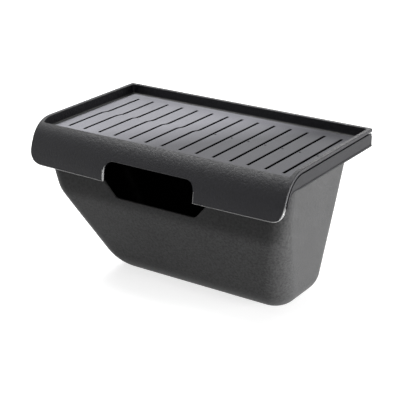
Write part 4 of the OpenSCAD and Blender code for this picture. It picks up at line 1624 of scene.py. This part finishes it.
@dataclass
class RimFrame:
    """The frame: skirts with a bead, deck, rear wall, collar and hinge knuckles.

    Attributes:
        lid: The lid's sizes.
        datum: Moves it into the shared frame.
        hinge: The hinge's sizes.
        skirt, drop, tail: The skirts' thickness and height, and the width of their tail.
        deck, deck_front: The deck's thickness, and its front edge.
        gap: Space under the lid's lip.
        bead: How far the bead stands out.
        mouth, mouth_r: The opening's left, front, right and rear, and its corner radius.
        collar_x, collar_y, collar_t: The collar's half width and rear, and its thickness.
        collar_front, collar_r: Its front ends, and its corner radius.
        collar_low, collar_h: Its lower edge, and its height.
        web_w, web_low, web_top: Width of the web behind a knuckle, and its lower and
            upper sides.
        wall_under: From the rims' top down to the rear wall's.
        corner_under: From the lid's lip, past the gap, down to the rounded corners.
        blend_y: Length of the curve from a skirt's tail into its lower edge.
    """

    lid: LidShape
    datum: Datum
    hinge: Hinge = Hinge()
    skirt: float = 2.2
    drop: float = 16.2
    tail: float = 3.0
    deck: float = 2.0
    deck_front: float = 12.9
    gap: float = 1.5
    bead: float = 0.7
    mouth: tuple[float, ...] = (-136.5, 33.8, 136.5, 129.6)
    mouth_r: float = 10.0
    collar_x: float = 142.7
    collar_y: float = 132.9
    collar_t: float = 1.8
    collar_front: float = 47.8
    collar_r: float = 10.0
    collar_low: float = -22.2
    collar_h: float = 4.1
    web_w: float = 7.8
    web_low: float = -11.8
    web_top: float = -8.05
    wall_under: float = 7.0
    corner_under: float = 2.7
    blend_y: float = 7.5

    def lip_line(self, t: np.ndarray, deep: float) -> np.ndarray:
        """Returns the rim's curve set in by a depth.

        Args:
            t: Places on the curve.
            deep: How far it is set in.

        Returns:
            Array of shape (n, 2) of (y, z).
        """
        point, along = self.lid.curve(t)
        return point + deep * np.stack([-along[:, 1], along[:, 0]], 1)

    def skirt_outline(self) -> np.ndarray:
        """Returns the side view of a skirt: under the lip, and down its end as a narrow tail."""
        s = self.lid
        deep = s.lip + self.gap
        front = self.lip_line(np.linspace(0.02, 0.78, 40), deep)
        back = self.lip_line(np.linspace(0.78, 0.62, 12), deep + self.tail)
        back[:, 0] = front[-1, 0] + (back[:, 0] - front[-1, 0]) * np.linspace(0.25, 1, 12)
        bottom = -self.drop
        back = back[back[:, 1] < bottom - 0.8]
        turn, (y, z) = np.linspace(0, 1, 7)[1:], back[-1]
        fall = (bottom - z) * (1 - (1 - turn) ** 2.2)
        join = np.stack([y + self.blend_y * turn ** 1.6, z + fall], 1)
        rear = np.array([[s.depth - s.plan_r, bottom], [s.depth - s.plan_r, -deep]])
        return np.concatenate([front, back, join, rear])

    def build(self, material: bpy.types.Material) -> bpy.types.Object:
        """Builds the frame.

        Args:
            material: Its finish.

        Returns:
            The frame's object.
        """
        kit = MeshKit()
        outline = self.skirt_outline()
        for side in Side:
            x = side.value * (self.lid.half_w - self.skirt)
            kit.add_prism(lift(outline, 0, x), np.array([side.value * self.skirt, 0, 0]), 0.3, 2)
            self.add_bead(kit, outline[42:-1], side)
        self.rear(kit)
        self.deck_plate(kit)
        self.collar(kit)
        self.knuckles(kit)
        piece = kit.build("frame_body", self.datum, material, "bin", "frame_plastic")
        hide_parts("rim_frame")
        return piece

    def add_bead(self, kit: MeshKit, line: np.ndarray, side: Side, steps: int = 60) -> None:
        """Adds the bead along a skirt's lower edge: a half-round section carried along it.

        Args:
            kit: Where it goes.
            line: The lower edge, from the skirt's tail to its rear.
            side: Which skirt.
            steps: Sections along the bead; it grows to its size in the first fifth.
        """
        half_w = self.lid.half_w
        path = along_line(line, steps)
        ahead = unit(np.gradient(path, axis=0))
        down = np.stack([ahead[:, 1], -ahead[:, 0]], 1)
        grow = np.clip(np.linspace(0, steps, steps) / 12, 0.35, 1)[:, None]
        turn = quarter_turn(5)
        rise = self.bead * np.concatenate([[0.0], np.sin(turn)[1:], [1.0, 0.8, 0.0]])
        fall = np.concatenate([[0.0], 1.1 * (1 - np.cos(turn))[1:], [1.7, 1.95, 2.0]])
        yz = path[:, None] + down[:, None] * (fall * grow)[..., None]
        x = side.value * (half_w + rise * grow)[..., None]
        inside = np.full_like(x, side.value * (half_w - self.skirt))
        outside, inside = (np.concatenate([part, yz], -1) for part in (x, inside))
        section = np.concatenate([outside, inside[:, ::-1]], 1)
        kit.add_grid(section, around=True)
        kit.add_cap(section[0])
        kit.add_cap(section[-1], flip=True)

    def rear(self, kit: MeshKit) -> None:
        """Adds the low rear wall and its rounded corners.

        Args:
            kit: Where they go.
        """
        s, turn = self.lid, quarter_turn(11)
        foot, height = -self.drop - self.deck, self.drop + self.deck
        middle = np.array([s.half_w - s.plan_r, s.depth - s.plan_r])
        arc = np.stack([np.cos(turn), np.sin(turn)], 1)
        inner = middle + (s.plan_r - self.skirt) * arc
        quarter = np.concatenate([middle + s.plan_r * arc, inner[::-1]])
        for side in Side:
            kit.add_prism(lift(quarter * (side.value, 1), 2, foot),
                          np.array([0, 0, height - s.lip - self.gap - self.corner_under]), 0.3, 2)
        loop = rounded_loop(-middle[0], s.depth - self.skirt, middle[0], s.depth, 0.3, 2)
        kit.add_prism(lift(loop, 2, foot), np.array([0, 0, height - self.wall_under]), 0.3, 2)

    def deck_plate(self, kit: MeshKit, soft: float = 0.4) -> None:
        """Adds the deck as a closed section carried between its outline and the mouth.

        Args:
            kit: Where it goes.
            soft: Height of the edges' chamfers.
        """
        s = self.lid
        inner = rounded_loop(*self.mouth, self.mouth_r, 10, 24)
        outer = rounded_loop(-s.half_w + 0.1, self.deck_front, s.half_w - 0.1, s.depth, s.plan_r,
                             10, 24)
        near, wide = outer * 0.9985, inner + (inner - inner.mean(0)) * 0.003
        high, low = -self.drop, -self.drop - self.deck
        section = ((outer, low + soft), (outer, high - soft), (near, high), (wide, high),
                   (inner, high - soft), (inner, low + soft), (wide, low), (near, low),
                   (outer, low + soft))
        kit.add_grid(np.stack([lift(loop, 2, z) for loop, z in section]), around=True)

    def collar(self, kit: MeshKit) -> None:
        """Adds the collar that locates the frame in the tub's sides and rear.

        Args:
            kit: Where it goes.
        """
        front, lines = self.collar_front, []
        for inset, start in ((0.0, 33.8), (self.collar_t, 20.0)):
            x = self.collar_x - inset
            loop = rounded_loop(-x, start, x, self.collar_y - inset, self.collar_r - inset, 8)
            lines.append(np.concatenate([[[x, front]], loop[loop[:, 1] > front], [[-x, front]]]))
        kit.add_prism(lift(np.concatenate([lines[0], lines[1][::-1]]), 2, self.collar_low),
                      np.array([0, 0, self.collar_h]), 0.3, 2)

    def knuckles(self, kit: MeshKit) -> None:
        """Adds two knuckles beside each of the lid's, each on a web from the rear wall.

        Args:
            kit: Where they go.
        """
        s, h = self.lid, self.hinge
        for side in Side:
            for end in (-1, 1):
                near = side.value * h.x + end * (h.lid_w / 2 + h.gap)
                x0, x1 = sorted((near, near + end * h.frame_w))
                h.add_knuckle(kit, x0, x1, s.depth)
                loop = rounded_loop(s.depth - 1.5, self.web_low, s.depth + h.back, self.web_top,
                                    0.3, 2)
                kit.add_prism(lift(loop, 0, x0 + 0.1), np.array([self.web_w, 0, 0]), 0.3, 2)


# --------------------------------------------------------------------------
# Studio
# --------------------------------------------------------------------------


@dataclass(frozen=True)
class Lamp:
    """One soft rectangular lamp.

    Attributes:
        name: Its name.
        place: Where it stands, in metres.
        aim: The point that it faces.
        size: Width and height in metres.
        power: Power in watts.
    """

    name: str
    place: Point
    aim: Point
    size: tuple[float, float]
    power: float

    def build(self) -> None:
        """Makes the lamp."""
        data = bpy.data.lights.new(self.name, "AREA")
        data.shape = "RECTANGLE"
        data.size, data.size_y = self.size
        data.energy = self.power
        lamp = put_in(self.name, data)
        lamp.visible_camera = False
        lamp.location = self.place
        towards = Vector(self.aim) - Vector(self.place)
        lamp.rotation_euler = towards.to_track_quat("-Z", "Y").to_euler()


LAMPS = (
    Lamp("rear_sheen", (-0.75, 1.75, 1.15), (0.0, 0.0, 0.1), (3.0, 1.5), 5.5),
    Lamp("rim_glow", (-0.73, 1.70, 0.84), (0.15, 0.05, 0.15), (0.5, 0.6), 4.0),
    Lamp("rear_right", (0.55, 1.70, 0.75), (0.05, 0.0, 0.1), (0.8, 0.8), 7.0),
    Lamp("key", (-0.74, 0.16, 1.46), (0.0, 0.0, 0.15), (1.0, 0.6), 27.0),
    Lamp("top_fill", (-0.1, -0.55, 1.45), (0.05, 0.0, 0.1), (1.0, 0.7), 3.3),
    Lamp("right_card", (1.05, 0.0, 0.085), (0.1, 0.0, 0.075), (1.3, 0.16), 36.0),
    Lamp("left_fill", (-1.2, -0.9, 0.55), (0.0, 0.0, 0.08), (1.2, 0.9), 2.6),
    Lamp("front_bounce", (-0.18, -0.17, 0.004), (-0.18, -0.16, 1.0), (0.36, 0.16), 0.04),
)


@dataclass(frozen=True)
class Studio:
    """Pale floor, white surround, soft lamps and the camera.

    Attributes:
        eye: Place of the camera in metres.
        yaw: Degrees that the camera is turned clockwise from +Y.
        pitch: Degrees that it looks down.
        lens: Focal length in millimetres.
        shift: Shift of the lens.
        ambient: Strength of the surround, where it isn't seen.
        paper: The floor's colour, darkest and lightest.
        glow: Strength of the floor's glow, where it is seen, near the bin and away from it.
        glow_at: Distances from the bin in metres that the two go with.
        half: Half the floor's width in metres.
    """

    eye: Point = (0.6302, -0.9480, 0.5327)
    yaw: float = -33.96
    pitch: float = 20.72
    lens: float = 106.46
    shift: tuple[float, float] = (0.0145, -0.0416)
    ambient: float = 0.05
    paper: tuple[float, float] = (0.58, 0.62)
    glow: tuple[float, float] = (0.72, 1.1)
    glow_at: tuple[float, float] = (0.2, 1.1)
    half: float = 6.0

    def build(self) -> None:
        """Makes the whole set."""
        self.camera()
        self.surround()
        self.floor()
        for lamp in LAMPS:
            lamp.build()

    def camera(self) -> None:
        """Makes the camera, looking down its yaw and pitch."""
        data = bpy.data.cameras.new("view")
        data.lens = self.lens
        data.sensor_width = 36.0
        data.shift_x, data.shift_y = self.shift
        data.clip_end = 20.0
        camera = put_in("view", data)
        camera.location = self.eye
        camera.rotation_euler = (math.radians(90 - self.pitch), 0.0, -math.radians(self.yaw))
        bpy.context.scene.camera = camera

    def surround(self) -> None:
        """Makes a surround that is white where it is seen or mirrored, and dim otherwise."""
        w = Wires(bpy.data.worlds.new("surround"), "Background")
        strength = w.math("MULTIPLY_ADD", w.shown(), 1.0 - self.ambient, self.ambient)
        bpy.context.scene.world = w.finish(Color=(1.0, 1.0, 1.0), Strength=strength)

    def floor(self) -> None:
        """Makes the pale floor: white away from the bin, with its soft shadow near it."""
        w = Wires.material("floor_paper")
        ring = w.node("ShaderNodeMapRange", interpolation_type="SMOOTHSTEP")
        measures = (*self.glow_at, *self.glow)
        for key, value in zip(("From Min", "From Max", "To Min", "To Max"), measures):
            ring.inputs[key].default_value = value
        w.join(w.length(w.place), ring.inputs["Value"])
        paper = w.finish(Base_Color=w.level(w.noise(400.0, 3.0), 0.3, 0.7, *self.paper),
                         Roughness=1.0, Specular_IOR_Level=0.0, Emission_Color=(1.0, 1.0, 1.0),
                         Emission_Strength=w.math("MULTIPLY", ring.outputs["Result"], w.shown()))
        mesh = bpy.data.meshes.new("floor")
        square = ((-1, -1), (1, -1), (1, 1), (-1, 1))
        corners = [(x * self.half, y * self.half, 0) for x, y in square]
        mesh.from_pydata(corners, [], [(0, 1, 2, 3)])
        mesh.materials.append(paper)
        floor = put_in("floor", mesh)


def dress(names: list[str], material: bpy.types.Material) -> None:
    """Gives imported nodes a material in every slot.

    Args:
        names: Names of the nodes.
        material: Their finish.
    """
    for name in names:
        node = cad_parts[name]
        node.data.materials.clear()
        node.data.materials.append(material)
        LOG.info("%s: dressed with %s", name, material.name)


def main() -> None:
    """Builds the bin and its set."""
    logging.basicConfig(level=logging.INFO, format="%(message)s")
    bpy.context.scene.view_settings.view_transform = "Standard"
    datum = Datum.from_frame()
    lid = LidShape()
    lid_plastic = MouldedPlastic("lid_plastic", (0.004, 0.004, 0.0056), roughness=0.44, grain=0.6,
                                 sheen=0.22, hide=0.0018).make()
    # the tub's front above the knee gets a painted shadow of the apron (upper=0.5)
    tub_plastic = MouldedPlastic("tub_plastic", (0.037,) * 3, roughness=0.42, grain=0.4,
                                 sheen=0.06, hide=0.0006, upper=0.5).make()
    frame_plastic = MouldedPlastic("frame_plastic", (0.014, 0.014, 0.015), roughness=0.45,
                                   grain=0.2, sheen=0.08).make()
    # groove: near-black painted shade in the grooves and dimples
    mat_rubber = MatRubber("mat_rubber", (0.19, 0.19, 0.206), groove=(0.002,) * 3).make()
    LidShell(lid, datum).build(lid_plastic)
    TrayMat(lid, datum).build(mat_rubber)
    Tub(TubShape(), datum).build(tub_plastic)
    RimFrame(lid, datum).build(frame_plastic)
    dress(["bag_ring"], frame_plastic)
    dress(["frame_screws", "hinge_pin_left", "hinge_pin_right", "pin_clip_left", "pin_clip_right"],
          ZincSteel().make())
    dress(["lid_buffers", "base_pads"], BlackRubber().make())
    Studio().build()


if __name__ == "__main__":
    main()
